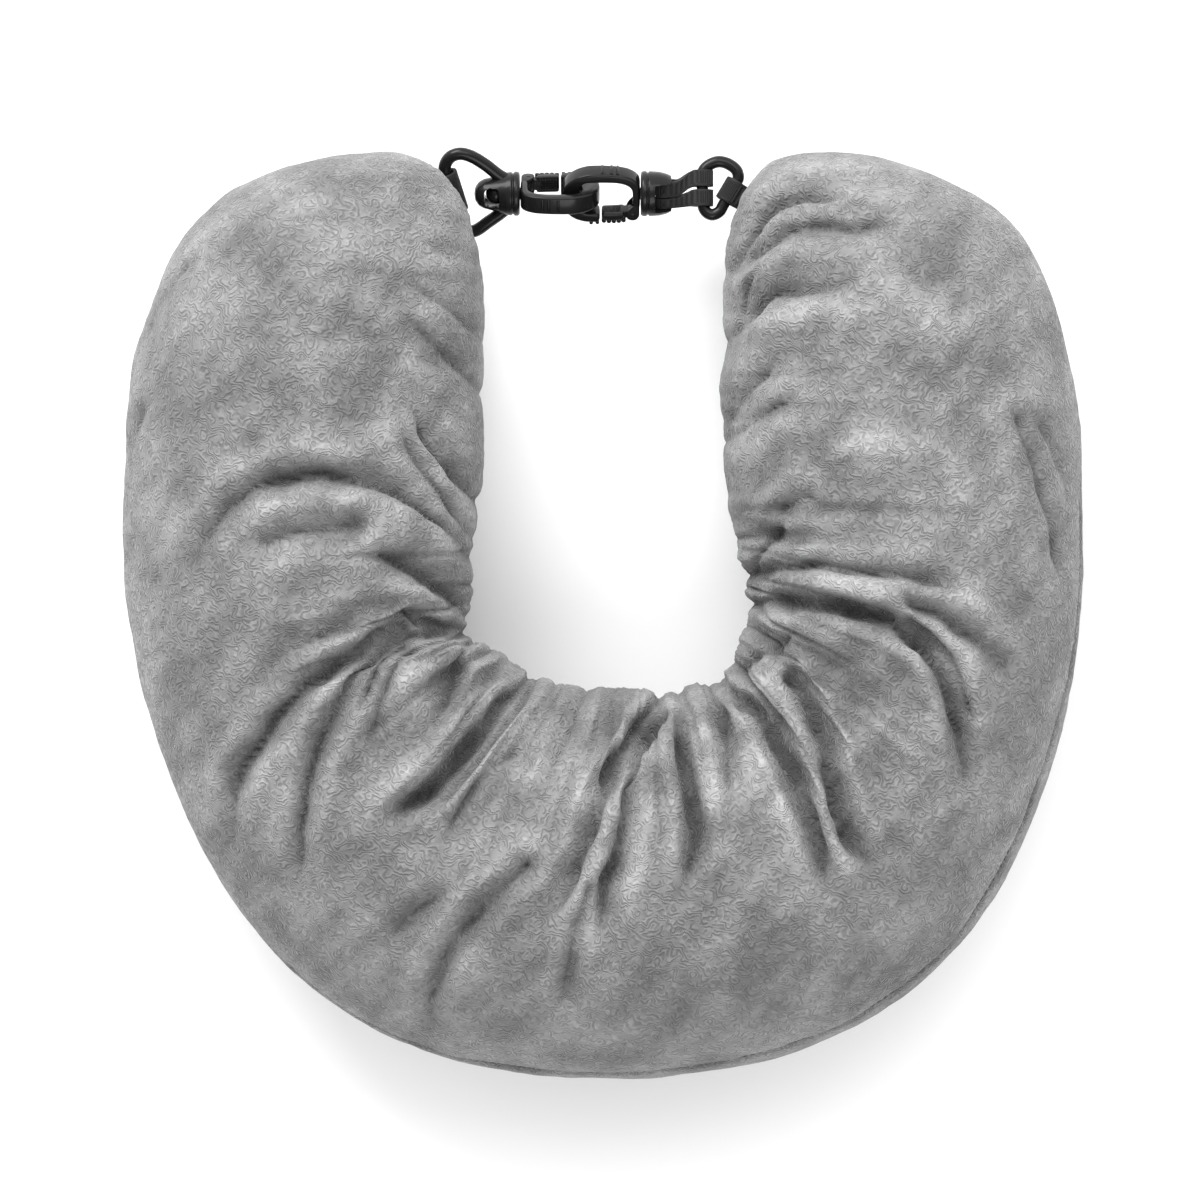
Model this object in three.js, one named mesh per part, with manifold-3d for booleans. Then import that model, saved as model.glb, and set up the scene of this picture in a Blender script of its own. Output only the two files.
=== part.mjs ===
// Travel pillow: a stuffed tube of short-pile plush bent into a U, with a
// chain of two linked swivel hooks between the ends of its arms.
// It lies on its back. X runs along the clip chain, Y from the bend of the U
// towards the clip, Z up from the surface, all in millimetres.

import * as THREE from 'three';
import { mergeVertices } from 'three/addons/utils/BufferGeometryUtils.js';
import Module from 'manifold-3d';

const wasm = await Module();
wasm.setup();

// Driving dimensions of the pillow

const SECTION_ROUND = 2.15; // 2 is an ellipse, more is squarer
const BELLY = 0.48; // height of the widest line, as a share of the thickness
const STEPS_AROUND = 40;
const TOP_SHARE = 26 / 40; // share of the steps that lie on the upper side
const UNDER_FOLD = 0.45; // how deep the folds stay on the underside
const REST_BAND = 9; // no fold lies lower than this above the surface

// Driving dimensions of the clip chain

const CLIP_Y = 177.5;
const CLIP_Z = 44;
const LEFT_FACE = -35.3; // where the left hook meets its swivel base
const RIGHT_FACE = 15.7;
const FIT = 0.3; // clear space between pieces
const LEFT_ROLL = THREE.MathUtils.degToRad(-58);
const RIGHT_ROLL = THREE.MathUtils.degToRad(40);
const LOOP_ROLL = THREE.MathUtils.degToRad(28);
const STRAP_ROLL = THREE.MathUtils.degToRad(25);

const HOOK_THICK = 8;
const GATE_THICK = 7.4;
const KNUCKLE_THICK = 5.2;
const PIVOT = { x: 3.2, y: 8.6 };
const PIN_RADIUS = 1.1;
const SHAFT_RADIUS = 2.6;
const BAR_RADIUS = 2.7; // bars of the left loop
const RING_RADIUS = 2.4; // bar of the right ring
const STRAP_PIN_AT = 9.6; // how far the strap's pin lies behind the collar face
const STRAP_PIN_RADIUS = 1.7;
const WEBBING = 1.4; // thickness of one ply
const STRAP_WIDTH = 10.5; // in the slot of the right base
const STRAP_SPREAD = 13; // where it runs round the ring
const STRAP_FREE = 5; // how far beyond its pin the strap starts to spread
const RING_PLAY = 0.7; // space between the ring's bar and the strap round it

const PLUSH = { color: 0xa3a3a4, roughness: 0.95, metalness: 0 };
const PLASTIC = { color: 0x242425, roughness: 0.45, metalness: 0 };
const BAND = { color: 0x17171a, roughness: 0.9, metalness: 0 };

// Sections of the tube, from the tip of the left arm round the bend to the
// tip of the right arm: outer edge, inner edge, lowest and highest level, and
// the steps of the mesh up to the next section

const SECTIONS = [
  { outer: [-97, 193.8], inner: [-97, 193.8], low: 58, high: 58, steps: 2 },
  { outer: [-119, 190.5], inner: [-80, 191.5], low: 36, high: 81, steps: 2 },
  { outer: [-141, 183.5], inner: [-66, 184], low: 20, high: 99, steps: 2 },
  { outer: [-160, 173.5], inner: [-57, 171], low: 9, high: 110, steps: 2 },
  { outer: [-176, 157], inner: [-52, 153], low: 2, high: 118, steps: 2 },
  { outer: [-187, 136], inner: [-50, 131], low: -1, high: 123, steps: 3 },
  { outer: [-196, 110], inner: [-50, 106], low: -3, high: 126, steps: 3 },
  { outer: [-200, 75], inner: [-50, 76], low: -3, high: 127, steps: 3 },
  { outer: [-200.5, 40], inner: [-51, 45], low: -3, high: 128, steps: 4 },
  { outer: [-199.5, 8], inner: [-53.5, 22], low: -3, high: 128, steps: 5 },
  { outer: [-195, -22], inner: [-54, 5], low: -3, high: 127, steps: 7 },
  { outer: [-185, -57], inner: [-53.5, -7], low: -3, high: 127, steps: 8 },
  { outer: [-168, -98.5], inner: [-45, -13.5], low: -3, high: 127, steps: 8 },
  { outer: [-141, -138], inner: [-33, -21.5], low: -3, high: 128, steps: 6 },
  { outer: [-107, -167], inner: [-20, -28], low: -3, high: 129, steps: 6 },
  { outer: [-62, -186.5], inner: [-6, -30.5], low: -3, high: 130, steps: 6 },
  { outer: [-8, -194], inner: [10, -30.5], low: -3, high: 130, steps: 6 },
  { outer: [48, -190.5], inner: [25, -30], low: -3, high: 130, steps: 6 },
  { outer: [95, -177], inner: [40, -28.5], low: -3, high: 129, steps: 6 },
  { outer: [134, -153], inner: [51, -22], low: -3, high: 128, steps: 6 },
  { outer: [163, -119], inner: [57, -11], low: -3, high: 127, steps: 6 },
  { outer: [182.5, -78], inner: [60, 0], low: -3, high: 127, steps: 6 },
  { outer: [194, -38], inner: [57.5, 13], low: -3, high: 128, steps: 6 },
  { outer: [199.5, 2], inner: [56, 26], low: -3, high: 128, steps: 5 },
  { outer: [200.5, 45], inner: [51, 50], low: -3, high: 128, steps: 3 },
  { outer: [198.5, 85], inner: [49, 84], low: -3, high: 127, steps: 3 },
  { outer: [193, 112], inner: [50, 112], low: -3, high: 125, steps: 3 },
  { outer: [184, 142], inner: [50, 136], low: 0, high: 121, steps: 2 },
  { outer: [171.5, 162.5], inner: [51, 156], low: 4, high: 115, steps: 2 },
  { outer: [155, 175], inner: [55, 171], low: 11, high: 107, steps: 2 },
  { outer: [134, 184.5], inner: [62.5, 183], low: 22, high: 96, steps: 2 },
  { outer: [110, 191.5], inner: [73, 191], low: 37, high: 80, steps: 2 },
  { outer: [91, 194], inner: [91, 194], low: 58, high: 58, steps: 0 },
];

// Folds of the cloth, seen from above: a path from its deep end to where it
// fades, its depth (a ridge where it is negative) and its half width

const FOLDS = [
  // Left arm
  {
    depth: 7,
    width: 5,
    path: [
      [-50, 18], [-56, 26], [-65, 38], [-87, 51], [-108, 56],
      [-129, 56], [-150, 46], [-162, 29], [-169, 10],
    ],
  },
  { depth: 8, width: 9, path: [[-72, 48], [-86, 54], [-101, 55]] },
  { depth: -4, width: 6, path: [[-56, 22], [-65, 33], [-83, 45], [-114, 43], [-146, 38]] },
  { depth: 8, width: 4.5, path: [[-50, 43], [-53, 48], [-62, 60], [-73, 74], [-81, 90]] },
  { depth: 7, width: 4.5, path: [[-50, 25], [-55, 33], [-68, 52], [-78, 67], [-87, 88]] },
  { depth: 4, width: 6, path: [[-100, 36], [-127, 32], [-143, 28]] },
  { depth: 7, width: 5, path: [[-50, -9], [-55, -3], [-61, 7], [-73, 16], [-88, 23], [-108, 24]] },
  { depth: 9, width: 4.5, path: [[-50, -8], [-55, -7], [-73, -3], [-88, 4]] },
  { depth: 6, width: 4.5, path: [[-50, -8], [-72, -7], [-87, -8]] },
  { depth: 4, width: 6, path: [[-50, 90], [-56, 98], [-68, 110], [-83, 123]] },
  // Left bend
  {
    depth: 8,
    width: 4.5,
    path: [
      [-80, -5], [-87, -8], [-110, -21], [-128, -37],
      [-140, -52], [-149, -67], [-152, -83], [-151, -99],
    ],
  },
  {
    depth: 7,
    width: 4.5,
    path: [
      [-82, -8], [-90, -15], [-105, -32], [-116, -56],
      [-122, -78], [-124, -99], [-123, -120],
    ],
  },
  { depth: 5, width: 4.5, path: [[-80, -11], [-87, -17], [-96, -32], [-102, -46]] },
  { depth: 5, width: 4.5, path: [[-77, -14], [-84, -21], [-91, -40], [-97, -57]] },
  { depth: 5, width: 4.5, path: [[-52, -9], [-57, -15], [-64, -32], [-71, -54]] },
  { depth: 5, width: 4.5, path: [[-37, -17], [-43, -22], [-53, -36], [-60, -49]] },
  {
    depth: 10,
    width: 4.5,
    path: [
      [-25, -21], [-31, -26], [-42, -38], [-56, -55],
      [-69, -70], [-84, -80], [-92, -90],
    ],
  },
  { depth: 4, width: 6, path: [[-35, -55], [-47, -65], [-60, -83], [-66, -99]] },
  {
    depth: 6,
    width: 5,
    path: [
      [-32, -101], [-43, -114], [-56, -126],
      [-66, -143], [-71, -161], [-68, -172],
    ],
  },
  // Middle of the bend
  { depth: 5, width: 14, path: [[-23, -45], [-6, -48], [12, -45]] },
  {
    depth: 10,
    width: 4.5,
    path: [
      [26, -28], [22, -35], [7, -58], [-2, -75],
      [-8, -95], [-16, -113], [-20, -122],
    ],
  },
  {
    depth: 9,
    width: 5.5,
    path: [
      [24, -40], [14, -55], [10, -75], [6, -95],
      [0, -112], [0, -127], [4, -140],
    ],
  },
  { depth: 5, width: 4.5, path: [[-6, -111], [-11, -128], [-14, -145], [-17, -163]] },
  {
    depth: 8,
    width: 4.5,
    path: [
      [31, -29], [32, -40], [33, -57], [36, -74],
      [37, -90], [35, -104], [32, -120],
    ],
  },
  { depth: 5.5, width: 4.5, path: [[44, -27], [45, -34], [49, -50], [51, -65], [52, -86]] },
  // Right bend
  {
    depth: 11,
    width: 4.5,
    path: [
      [48, -27], [56, -34], [66, -43], [73, -58],
      [80, -74], [86, -91], [90, -107], [91, -116],
    ],
  },
  {
    depth: 11,
    width: 4.5,
    path: [
      [76, -26], [84, -38], [90, -52], [93, -67],
      [97, -82], [104, -95], [112, -106],
    ],
  },
  { depth: 5, width: 8, path: [[82, -16], [99, -28], [104, -54], [112, -74]] },
  { depth: 6, width: 4.5, path: [[48, -28], [54, -23], [66, -15], [81, -5]] },
  {
    depth: 12,
    width: 4.5,
    path: [
      [53, 1], [59, 3], [70, 6], [84, 4], [103, 1],
      [118, -5], [132, -16], [141, -33], [147, -74],
    ],
  },
  {
    depth: 6,
    width: 4.5,
    path: [
      [55, 16], [60, 17], [78, 20], [103, 18],
      [124, 16], [137, 12], [154, 5],
    ],
  },
  { depth: -5, width: 4.5, path: [[62, 10], [82, 14], [107, 11], [132, 9], [153, 3], [166, -15]] },
  { depth: 6, width: 4.5, path: [[124, 5], [141, -3], [160, -18], [168, -28]] },
  { depth: 6, width: 4.5, path: [[124, -5], [139, -18], [147, -36], [152, -45]] },
  { depth: -5, width: 12, path: [[82, -8], [101, -8]] },
  { depth: -4, width: 12, path: [[59, -28], [76, -26]] },
  // Right arm
  { depth: 8, width: 6, path: [[55, 12], [60, 18], [68, 29], [74, 39]] },
  { depth: 5, width: 5, path: [[72, 43], [80, 47], [88, 48]] },
  { depth: 6, width: 5, path: [[169, 79], [178, 53], [185, 31], [189, 5]] },
  { depth: 5, width: 5, path: [[179, 77], [190, 56], [193, 39]] },
  { depth: 5, width: 5, path: [[53, 144], [68, 166], [82, 171], [106, 170]] },
  { depth: 5, width: 5, path: [[59, 147], [78, 158], [103, 158], [124, 161]] },
  { depth: 4, width: 7, path: [[50, 113], [57, 119], [68, 131], [82, 132], [104, 135]] },
  { depth: 5, width: 4.5, path: [[50, 113], [56, 119], [58, 133], [65, 147]] },
];

// Hollows pressed into the arm ends, under their bulge, by the clip chain

const DENTS = [
  { at: [-68, 180, 45], radius: 13, depth: 8 },
  { at: [-61, 163, 36], radius: 16, depth: 12 },
  { at: [60, 174, 42], radius: 14, depth: 7 },
];

// Surface of the pillow

const FOLD_POINTS = 14;
const FOLD_END = 0.5; // share of a fold's path over which it fades out
const FOLD_SPREAD = 1.8; // how much wider a fold is where it fades
const FOLD_FLOOR = 1; // the bottom of a fold is this round
const SWELL = 0.3; // height of the swellings beside a fold, as a share of its depth
const HIGHEST_RIDGE = 4;
const RIM = 0.8; // share of the half width from which a point counts as on a rim
const RIM_FOLD = 0.4; // how deep the folds stay at the rims
const TIP_ROWS = 2; // sections at each tip over which the folds fade
const LAST = SECTIONS.length - 1;

function curveThrough(points) {
  return new THREE.CatmullRomCurve3(points.map((p) => new THREE.Vector3(...p)));
}

const outerEdge = curveThrough(SECTIONS.map((s) => [s.outer[0], s.outer[1], s.high]));
const innerEdge = curveThrough(SECTIONS.map((s) => [s.inner[0], s.inner[1], s.low]));

const folds = FOLDS.map((fold) => {
  const route = curveThrough(fold.path.map(([x, y]) => [x, y, 0]));
  return { ...fold, points: route.getPoints(FOLD_POINTS) };
});

function power(value, exponent) {
  return Math.sign(value) * Math.abs(value) ** exponent;
}

// A point of the smooth tube: row counts the sections, and angle runs from
// the outer edge over the top to the inner edge and back underneath
function smoothPoint(row, angle) {
  const share = THREE.MathUtils.clamp(row / LAST, 0, 1);
  const outer = outerEdge.getPoint(share);
  const inner = innerEdge.getPoint(share);
  const high = outer.z;
  const low = inner.z;
  const widest = low + (high - low) * BELLY;
  const across = power(Math.cos(angle), 2 / SECTION_ROUND);
  const up = power(Math.sin(angle), 2 / SECTION_ROUND);
  const rise = up > 0 ? high - widest : widest - low;
  return new THREE.Vector3(
    (outer.x + inner.x) / 2 + ((outer.x - inner.x) / 2) * across,
    (outer.y + inner.y) / 2 + ((outer.y - inner.y) / 2) * across,
    widest + rise * up,
  );
}

function outward(row, angle) {
  const stepRow = 0.05;
  const stepAngle = 0.03;
  const before = Math.max(row - stepRow, 0.02);
  const after = Math.min(row + stepRow, LAST - 0.02);
  const along = smoothPoint(after, angle).sub(smoothPoint(before, angle));
  const round = smoothPoint(row, angle + stepAngle).sub(smoothPoint(row, angle - stepAngle));
  return along.cross(round).normalize();
}

function distanceTo(points, x, y) {
  let best = { gap: Infinity, share: 0 };
  for (let i = 0; i < points.length - 1; i += 1) {
    const a = points[i];
    const b = points[i + 1];
    const dx = b.x - a.x;
    const dy = b.y - a.y;
    const t = THREE.MathUtils.clamp(((x - a.x) * dx + (y - a.y) * dy) / (dx * dx + dy * dy), 0, 1);
    const gap = Math.hypot(x - a.x - t * dx, y - a.y - t * dy);
    if (gap < best.gap) {
      best = { gap, share: (i + t) / (points.length - 1) };
    }
  }
  return best;
}

// How far the folds draw the cloth in and raise it at a place seen from above
function foldDepth(x, y) {
  let valleys = 0;
  let ridges = 0;
  let swellings = 0;
  for (const fold of folds) {
    const { gap, share } = distanceTo(fold.points, x, y);
    const ends = THREE.MathUtils.smoothstep(1 - share, 0, FOLD_END);
    const width = fold.width * THREE.MathUtils.lerp(1, FOLD_SPREAD, share);
    if (fold.depth > 0) {
      valleys += (fold.depth * ends * Math.exp(-Math.hypot(gap, FOLD_FLOOR) / width)) ** 2;
      swellings += SWELL * fold.depth * ends * Math.exp(-((gap / width - 2) ** 2));
    } else {
      ridges -= fold.depth * ends * Math.exp(-((gap / width) ** 2));
    }
  }
  return { sunk: Math.sqrt(valleys), raised: Math.min(ridges + swellings, HIGHEST_RIDGE) };
}

function dentDepth(point) {
  let depth = 0;
  for (const dent of DENTS) {
    const gap = point.distanceTo(new THREE.Vector3(...dent.at));
    depth += dent.depth * Math.exp(-((gap / dent.radius) ** 2));
  }
  return depth;
}

function pillowPoint(row, angle) {
  const point = smoothPoint(row, angle);
  const side = Math.sin(angle);
  const across = Math.abs(Math.cos(angle));
  const fade = THREE.MathUtils.smoothstep(point.z, REST_BAND, REST_BAND * 3);
  const under = side > 0 ? 1 : THREE.MathUtils.lerp(1, UNDER_FOLD, -side);
  const onRim = THREE.MathUtils.smoothstep(across, RIM, 1);
  const rim = THREE.MathUtils.lerp(1, RIM_FOLD, onRim);
  const nearTip = THREE.MathUtils.smoothstep(Math.min(row, LAST - row), 0, TIP_ROWS);
  const { sunk, raised } = foldDepth(point.x, point.y);
  const depth = (sunk - raised * (1 - onRim)) * under * rim * fade * nearTip + dentDepth(point);
  point.addScaledVector(outward(row, angle), -depth);
  point.z = Math.max(point.z, 0);
  return point;
}

// Rows at which the mesh has a ring of points
function meshRows() {
  const rows = [];
  SECTIONS.forEach((section, index) => {
    for (let i = 0; i < section.steps; i += 1) {
      rows.push(index + i / section.steps);
    }
  });
  rows.push(LAST);
  return rows;
}

function angleAt(share) {
  if (share <= TOP_SHARE) {
    return (Math.PI * share) / TOP_SHARE;
  }
  return Math.PI + (Math.PI * (share - TOP_SHARE)) / (1 - TOP_SHARE);
}

// A sphere's poles become the two tips of the tube
function pillowGeometry() {
  const rows = meshRows();
  const steps = rows.length - 1;
  const geometry = new THREE.SphereGeometry(1, STEPS_AROUND, steps);
  const { position, uv } = geometry.attributes;
  for (let i = 0; i < position.count; i += 1) {
    const row = rows[Math.round((1 - uv.getY(i)) * steps)];
    const tip = row === 0 || row === LAST;
    const point = pillowPoint(row, tip ? 0 : angleAt(uv.getX(i) % 1));
    position.setXYZ(i, point.x, point.y, point.z);
  }
  return geometry;
}

// Solids

function solidOf(geometry, matrix) {
  const bare = geometry.index ? geometry.toNonIndexed() : geometry.clone();
  bare.deleteAttribute('normal');
  bare.deleteAttribute('uv');
  if (matrix) {
    bare.applyMatrix4(matrix);
  }
  const merged = mergeVertices(bare, 1e-4);
  return new wasm.Manifold(new wasm.Mesh({
    numProp: 3,
    vertProperties: new Float32Array(merged.attributes.position.array),
    triVerts: new Uint32Array(merged.index.array),
  }));
}

function geometryOf(solid) {
  const mesh = solid.getMesh();
  const geometry = new THREE.BufferGeometry();
  geometry.setAttribute('position', new THREE.BufferAttribute(new Float32Array(mesh.vertProperties), 3));
  geometry.setIndex(new THREE.BufferAttribute(new Uint32Array(mesh.triVerts), 1));
  geometry.computeVertexNormals();
  return geometry;
}

function joined(first, ...others) {
  return others.reduce((whole, other) => whole.add(other), first);
}

function cut(whole, ...others) {
  return others.reduce((rest, other) => rest.subtract(other), whole);
}

function node(name, geometry, look) {
  const mesh = new THREE.Mesh(geometry, new THREE.MeshStandardMaterial(look));
  mesh.name = name;
  return mesh;
}

// A plate of the given outline, centred on the plane of the outline
function plate(shape, thick, bevel = 0) {
  const geometry = new THREE.ExtrudeGeometry(shape, {
    depth: thick - 2 * bevel,
    bevelEnabled: bevel > 0,
    bevelThickness: bevel,
    bevelSize: bevel,
    bevelOffset: -bevel,
    bevelSegments: 1,
    curveSegments: 6,
  });
  geometry.translate(0, 0, bevel - thick / 2);
  return geometry;
}

function outline(points) {
  return new THREE.Shape(points.map(([x, y]) => new THREE.Vector2(x, y)));
}

function disc(radius, centre = { x: 0, y: 0 }) {
  const shape = new THREE.Shape();
  shape.absarc(centre.x, centre.y, radius, 0, 2 * Math.PI);
  return shape;
}

// A body of revolution about X: rows are [distance behind the face, radius]
function turned(rows, segments = 24) {
  const profile = rows.map(([back, radius]) => new THREE.Vector2(radius, back));
  const geometry = new THREE.LatheGeometry(profile, segments);
  return geometry.rotateZ(Math.PI / 2);
}

function barAlong(points, radius, steps) {
  return new THREE.ExtrudeGeometry(disc(radius), {
    extrudePath: curveThrough(points),
    steps,
    curveSegments: 5,
  });
}

// Swivel hooks, drawn with the collar face at x = 0 and the bow at the far
// end: the fixed arm lies at -y and the gate at +y

const HOOK_OUTLINE = [
  [0, -6.4], [1.6, -8.8], [5, -10.9], [9, -11.6], [9.4, -12.1], [9.9, -11.7], [11.6, -11.8],
  [12, -12.3], [12.5, -11.9], [15.6, -11.9], [15.9, -12.5], [22, -12.1], [27, -10.4], [30.8, -7.4],
  [33, -3.4], [33.6, 0], [33, 4], [31.2, 7.6], [28, 10.6], [23.6, 12.2], [21.4, 12.3], [20.9, 12.9],
  [20.2, 12.9], [19.7, 12.3], [18.9, 12.3], [18.4, 12.9], [17.6, 12.9], [17.0, 12.2], [16.8, 8],
  [22.4, 7.8], [24.6, 6.6], [25.4, 4.8], [25.4, -4.8], [24.6, -6.6], [22.4, -7.8], [10, -7.7],
  [5.6, -6.6], [3.2, -4.2], [3, 5.4], [0, 5.4],
];

const GATE_OUTLINE = [
  [6.5, 7.5], [10, 8], [16.4, 8.2], [15.9, 11.8], [15.2, 12.5], [14.4, 12.5], [13.7, 11.6],
  [12.8, 12.3], [12, 12.3], [11.3, 11.4], [10.4, 12], [9.6, 12], [8.9, 11], [8, 11.4], [7.2, 11.3],
  [6.6, 10.4],
];

// The two cheeks beside the gate's knuckle
const CHEEK_OUTLINE = [
  [0.2, 4], [0.2, 9.2], [1.6, 11], [3.6, 11.3], [5.4, 10.4], [5.9, 8.6], [5, 6.4], [3, 4],
];
const CHEEK_SLOT = [[-1, 5.3], [8, 5.3], [8, 13], [-1, 13]];
const SLOT_WIDTH = 5.9;
const WEB_OUTLINE = [[3.2, 6.9], [7.2, 7.2], [7.2, 10.4], [3.2, 10.6]];
const KNUCKLE_RADIUS = 2.1;
const HOOK_BEVEL = 0.7;
const GATE_BEVEL = 0.5;
const PIN_SHORT = 0.2; // the pin ends this much inside the cheeks' faces

// Swivel heads behind the collar face: a ball on the left, a disc on the right
const STEM_IN = 1.5;
const BALL = { back: 10.4, radius: 4.3 };
const DISC = { from: 2.1, to: 3.6, radius: 4.8 };

// A drum about X between two distances behind the face
function drum(from, to, radius) {
  return solidOf(turned([[from, 0], [from, radius], [to, radius], [to, 0]], 16));
}

function ballHead() {
  const ball = new THREE.SphereGeometry(BALL.radius, 16, 10);
  const place = new THREE.Matrix4().makeTranslation(-BALL.back, 0, 0);
  return joined(drum(-STEM_IN, BALL.back, SHAFT_RADIUS), solidOf(ball, place));
}

function discHead() {
  return joined(drum(-STEM_IN, DISC.to, SHAFT_RADIUS), drum(DISC.from, DISC.to, DISC.radius));
}

function hookSolid(head) {
  const body = solidOf(plate(outline(HOOK_OUTLINE), HOOK_THICK, HOOK_BEVEL));
  const cheeks = cut(
    solidOf(plate(outline(CHEEK_OUTLINE), HOOK_THICK)),
    solidOf(plate(outline(CHEEK_SLOT), SLOT_WIDTH)),
  );
  const hole = solidOf(plate(disc(PIN_RADIUS + FIT, PIVOT), 2 * HOOK_THICK));
  return cut(joined(body, cheeks, head), hole);
}

function gateSolid() {
  const lever = solidOf(plate(outline(GATE_OUTLINE), GATE_THICK, GATE_BEVEL));
  const web = solidOf(plate(outline(WEB_OUTLINE), KNUCKLE_THICK));
  const knuckle = solidOf(plate(disc(KNUCKLE_RADIUS, PIVOT), KNUCKLE_THICK));
  const pin = solidOf(plate(disc(PIN_RADIUS, PIVOT), HOOK_THICK - PIN_SHORT));
  return joined(lever, web, knuckle, pin);
}

// Swivel bases, drawn with the collar face at x = 0 and the rest behind it

const BELL = [
  [0, 0], [0, 8.7], [0.8, 9.4], [2.4, 9.4], [2.6, 8.7], [3.2, 8.7], [3.4, 9.3], [5.6, 9.0],
  [9, 7.9], [12.5, 6.9], [15.4, 6.2], [17.4, 5], [18.8, 3], [19.4, 0],
];
const FORK = [
  [0, 0], [0, 8.9], [0.8, 9.6], [2.5, 9.6], [2.7, 9], [3.3, 9], [3.5, 9.6], [8, 9.3], [11, 8.5],
  [13, 7.5], [13, 0],
];
const BORE = SHAFT_RADIUS + 0.4;
const LOOP_PATH = [
  [-5, 6.2], [-9, 8.6], [-14.5, 13.2], [-20, 16.8], [-25, 18.2], [-29.4, 16.4], [-31.6, 11.8], [-30, 6],
  [-28.6, 1], [-27.2, -4], [-25.8, -9], [-24.8, -14], [-22.4, -17], [-18.6, -16.8], [-13.5, -13],
  [-9, -9.6], [-5, -6.2],
];
const LOOP_STEPS = 40;
const BALL_CHAMBER = { from: 4.4, to: 14.8, radius: 4.9 };
const WINDOW_OUTLINE = [
  [-15, -3], [-13, -4.6], [-9, -4.6], [-8.4, 0], [-9, 4.6], [-13, 4.6], [-15, 3],
];
const DISC_CHAMBER = { from: 1.4, to: 4, radius: 5.2 };
const FORK_SLOT = [[-14, -6], [-5.6, -6], [-5.6, 6], [-14, 6]];
const STRAP_PIN_LONG = 13;
const THROUGH = 30; // longer than any base is wide

function leftBase() {
  const bell = solidOf(turned(BELL, 28));
  const loop = solidOf(barAlong(LOOP_PATH.map(([x, y]) => [x, y, 0]), BAR_RADIUS, LOOP_STEPS));
  const bore = drum(-1, BALL_CHAMBER.from + 1, BORE);
  const chamber = drum(BALL_CHAMBER.from, BALL_CHAMBER.to, BALL_CHAMBER.radius);
  const windows = solidOf(plate(outline(WINDOW_OUTLINE), THROUGH));
  return cut(joined(bell, loop), bore, chamber, windows);
}

function rightBase() {
  const fork = solidOf(turned(FORK, 28));
  const slot = solidOf(plate(outline(FORK_SLOT), THROUGH));
  const bore = drum(-1, DISC_CHAMBER.from + 1, BORE);
  const chamber = drum(DISC_CHAMBER.from, DISC_CHAMBER.to, DISC_CHAMBER.radius);
  const pin = new THREE.CylinderGeometry(STRAP_PIN_RADIUS, STRAP_PIN_RADIUS, STRAP_PIN_LONG, 12);
  const pinPlace = new THREE.Matrix4().makeTranslation(-STRAP_PIN_AT, 0, 0);
  return joined(cut(fork, slot, bore, chamber), solidOf(pin, pinPlace));
}

// Webbing: a loop round a bar, its two plies closing on a flat tail. The
// outline lies across the bar, with the bar at the origin and the tail at +x

const NECK = 3.5; // length over which the two plies of a loop close
const LEAVES_AT = 0.9; // angle at which a ply leaves the bar, in radians

function loopOutline(hole, tail) {
  const reach = hole + WEBBING;
  const shape = new THREE.Shape();
  shape.moveTo(tail, -WEBBING);
  shape.lineTo(tail, WEBBING);
  shape.lineTo(reach + NECK, WEBBING);
  shape.quadraticCurveTo(
    reach,
    WEBBING,
    reach * Math.cos(LEAVES_AT),
    reach * Math.sin(LEAVES_AT),
  );
  shape.absarc(0, 0, reach, LEAVES_AT, 2 * Math.PI - LEAVES_AT, false);
  shape.quadraticCurveTo(reach, -WEBBING, reach + NECK, -WEBBING);
  shape.closePath();
  shape.holes.push(disc(hole));
  return shape;
}

function strapOutline(near, far, span) {
  const shape = new THREE.Shape();
  const nearReach = near + WEBBING;
  const farReach = far + WEBBING;
  shape.absarc(0, 0, nearReach, Math.PI / 2, 1.5 * Math.PI, false);
  shape.quadraticCurveTo(nearReach + 1, -nearReach, span / 2 - 1, -WEBBING - 0.2);
  shape.quadraticCurveTo(span - farReach - 1, -farReach + 0.3, span, -farReach);
  shape.absarc(span, 0, farReach, -Math.PI / 2, Math.PI / 2, false);
  shape.quadraticCurveTo(span - farReach - 1, farReach - 0.3, span / 2 - 1, WEBBING + 0.2);
  shape.quadraticCurveTo(nearReach + 1, nearReach, 0, nearReach);
  shape.holes.push(disc(near), disc(far, { x: span, y: 0 }));
  return shape;
}

// Placing

function frameAt(origin, xAxis, zAxis) {
  const x = new THREE.Vector3(...xAxis).normalize();
  const z = new THREE.Vector3(...zAxis).normalize();
  const y = new THREE.Vector3().crossVectors(z, x).normalize();
  z.crossVectors(x, y);
  return new THREE.Matrix4().makeBasis(x, y, z).setPosition(...origin);
}

function chainFrame(x, roll, turned180) {
  const euler = new THREE.Euler(roll, 0, turned180 ? Math.PI : 0);
  return new THREE.Matrix4().makeRotationFromEuler(euler).setPosition(x, CLIP_Y, CLIP_Z);
}

const leftLoopFrame = chainFrame(LEFT_FACE, LOOP_ROLL, false);
const rightForkFrame = chainFrame(RIGHT_FACE, STRAP_ROLL, true);

const LEFT_TAB = { bar: [-28.6, 1], along: [0.27, -0.963], width: 18, tail: 17, hole: 3.2 };
const leftTabFrame = leftLoopFrame.clone().multiply(frameAt(
  [...LEFT_TAB.bar, 0],
  [LEFT_TAB.along[1], -LEFT_TAB.along[0], 0],
  [...LEFT_TAB.along, 0],
));
const leftTab = plate(loopOutline(LEFT_TAB.hole, LEFT_TAB.tail), LEFT_TAB.width);

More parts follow.
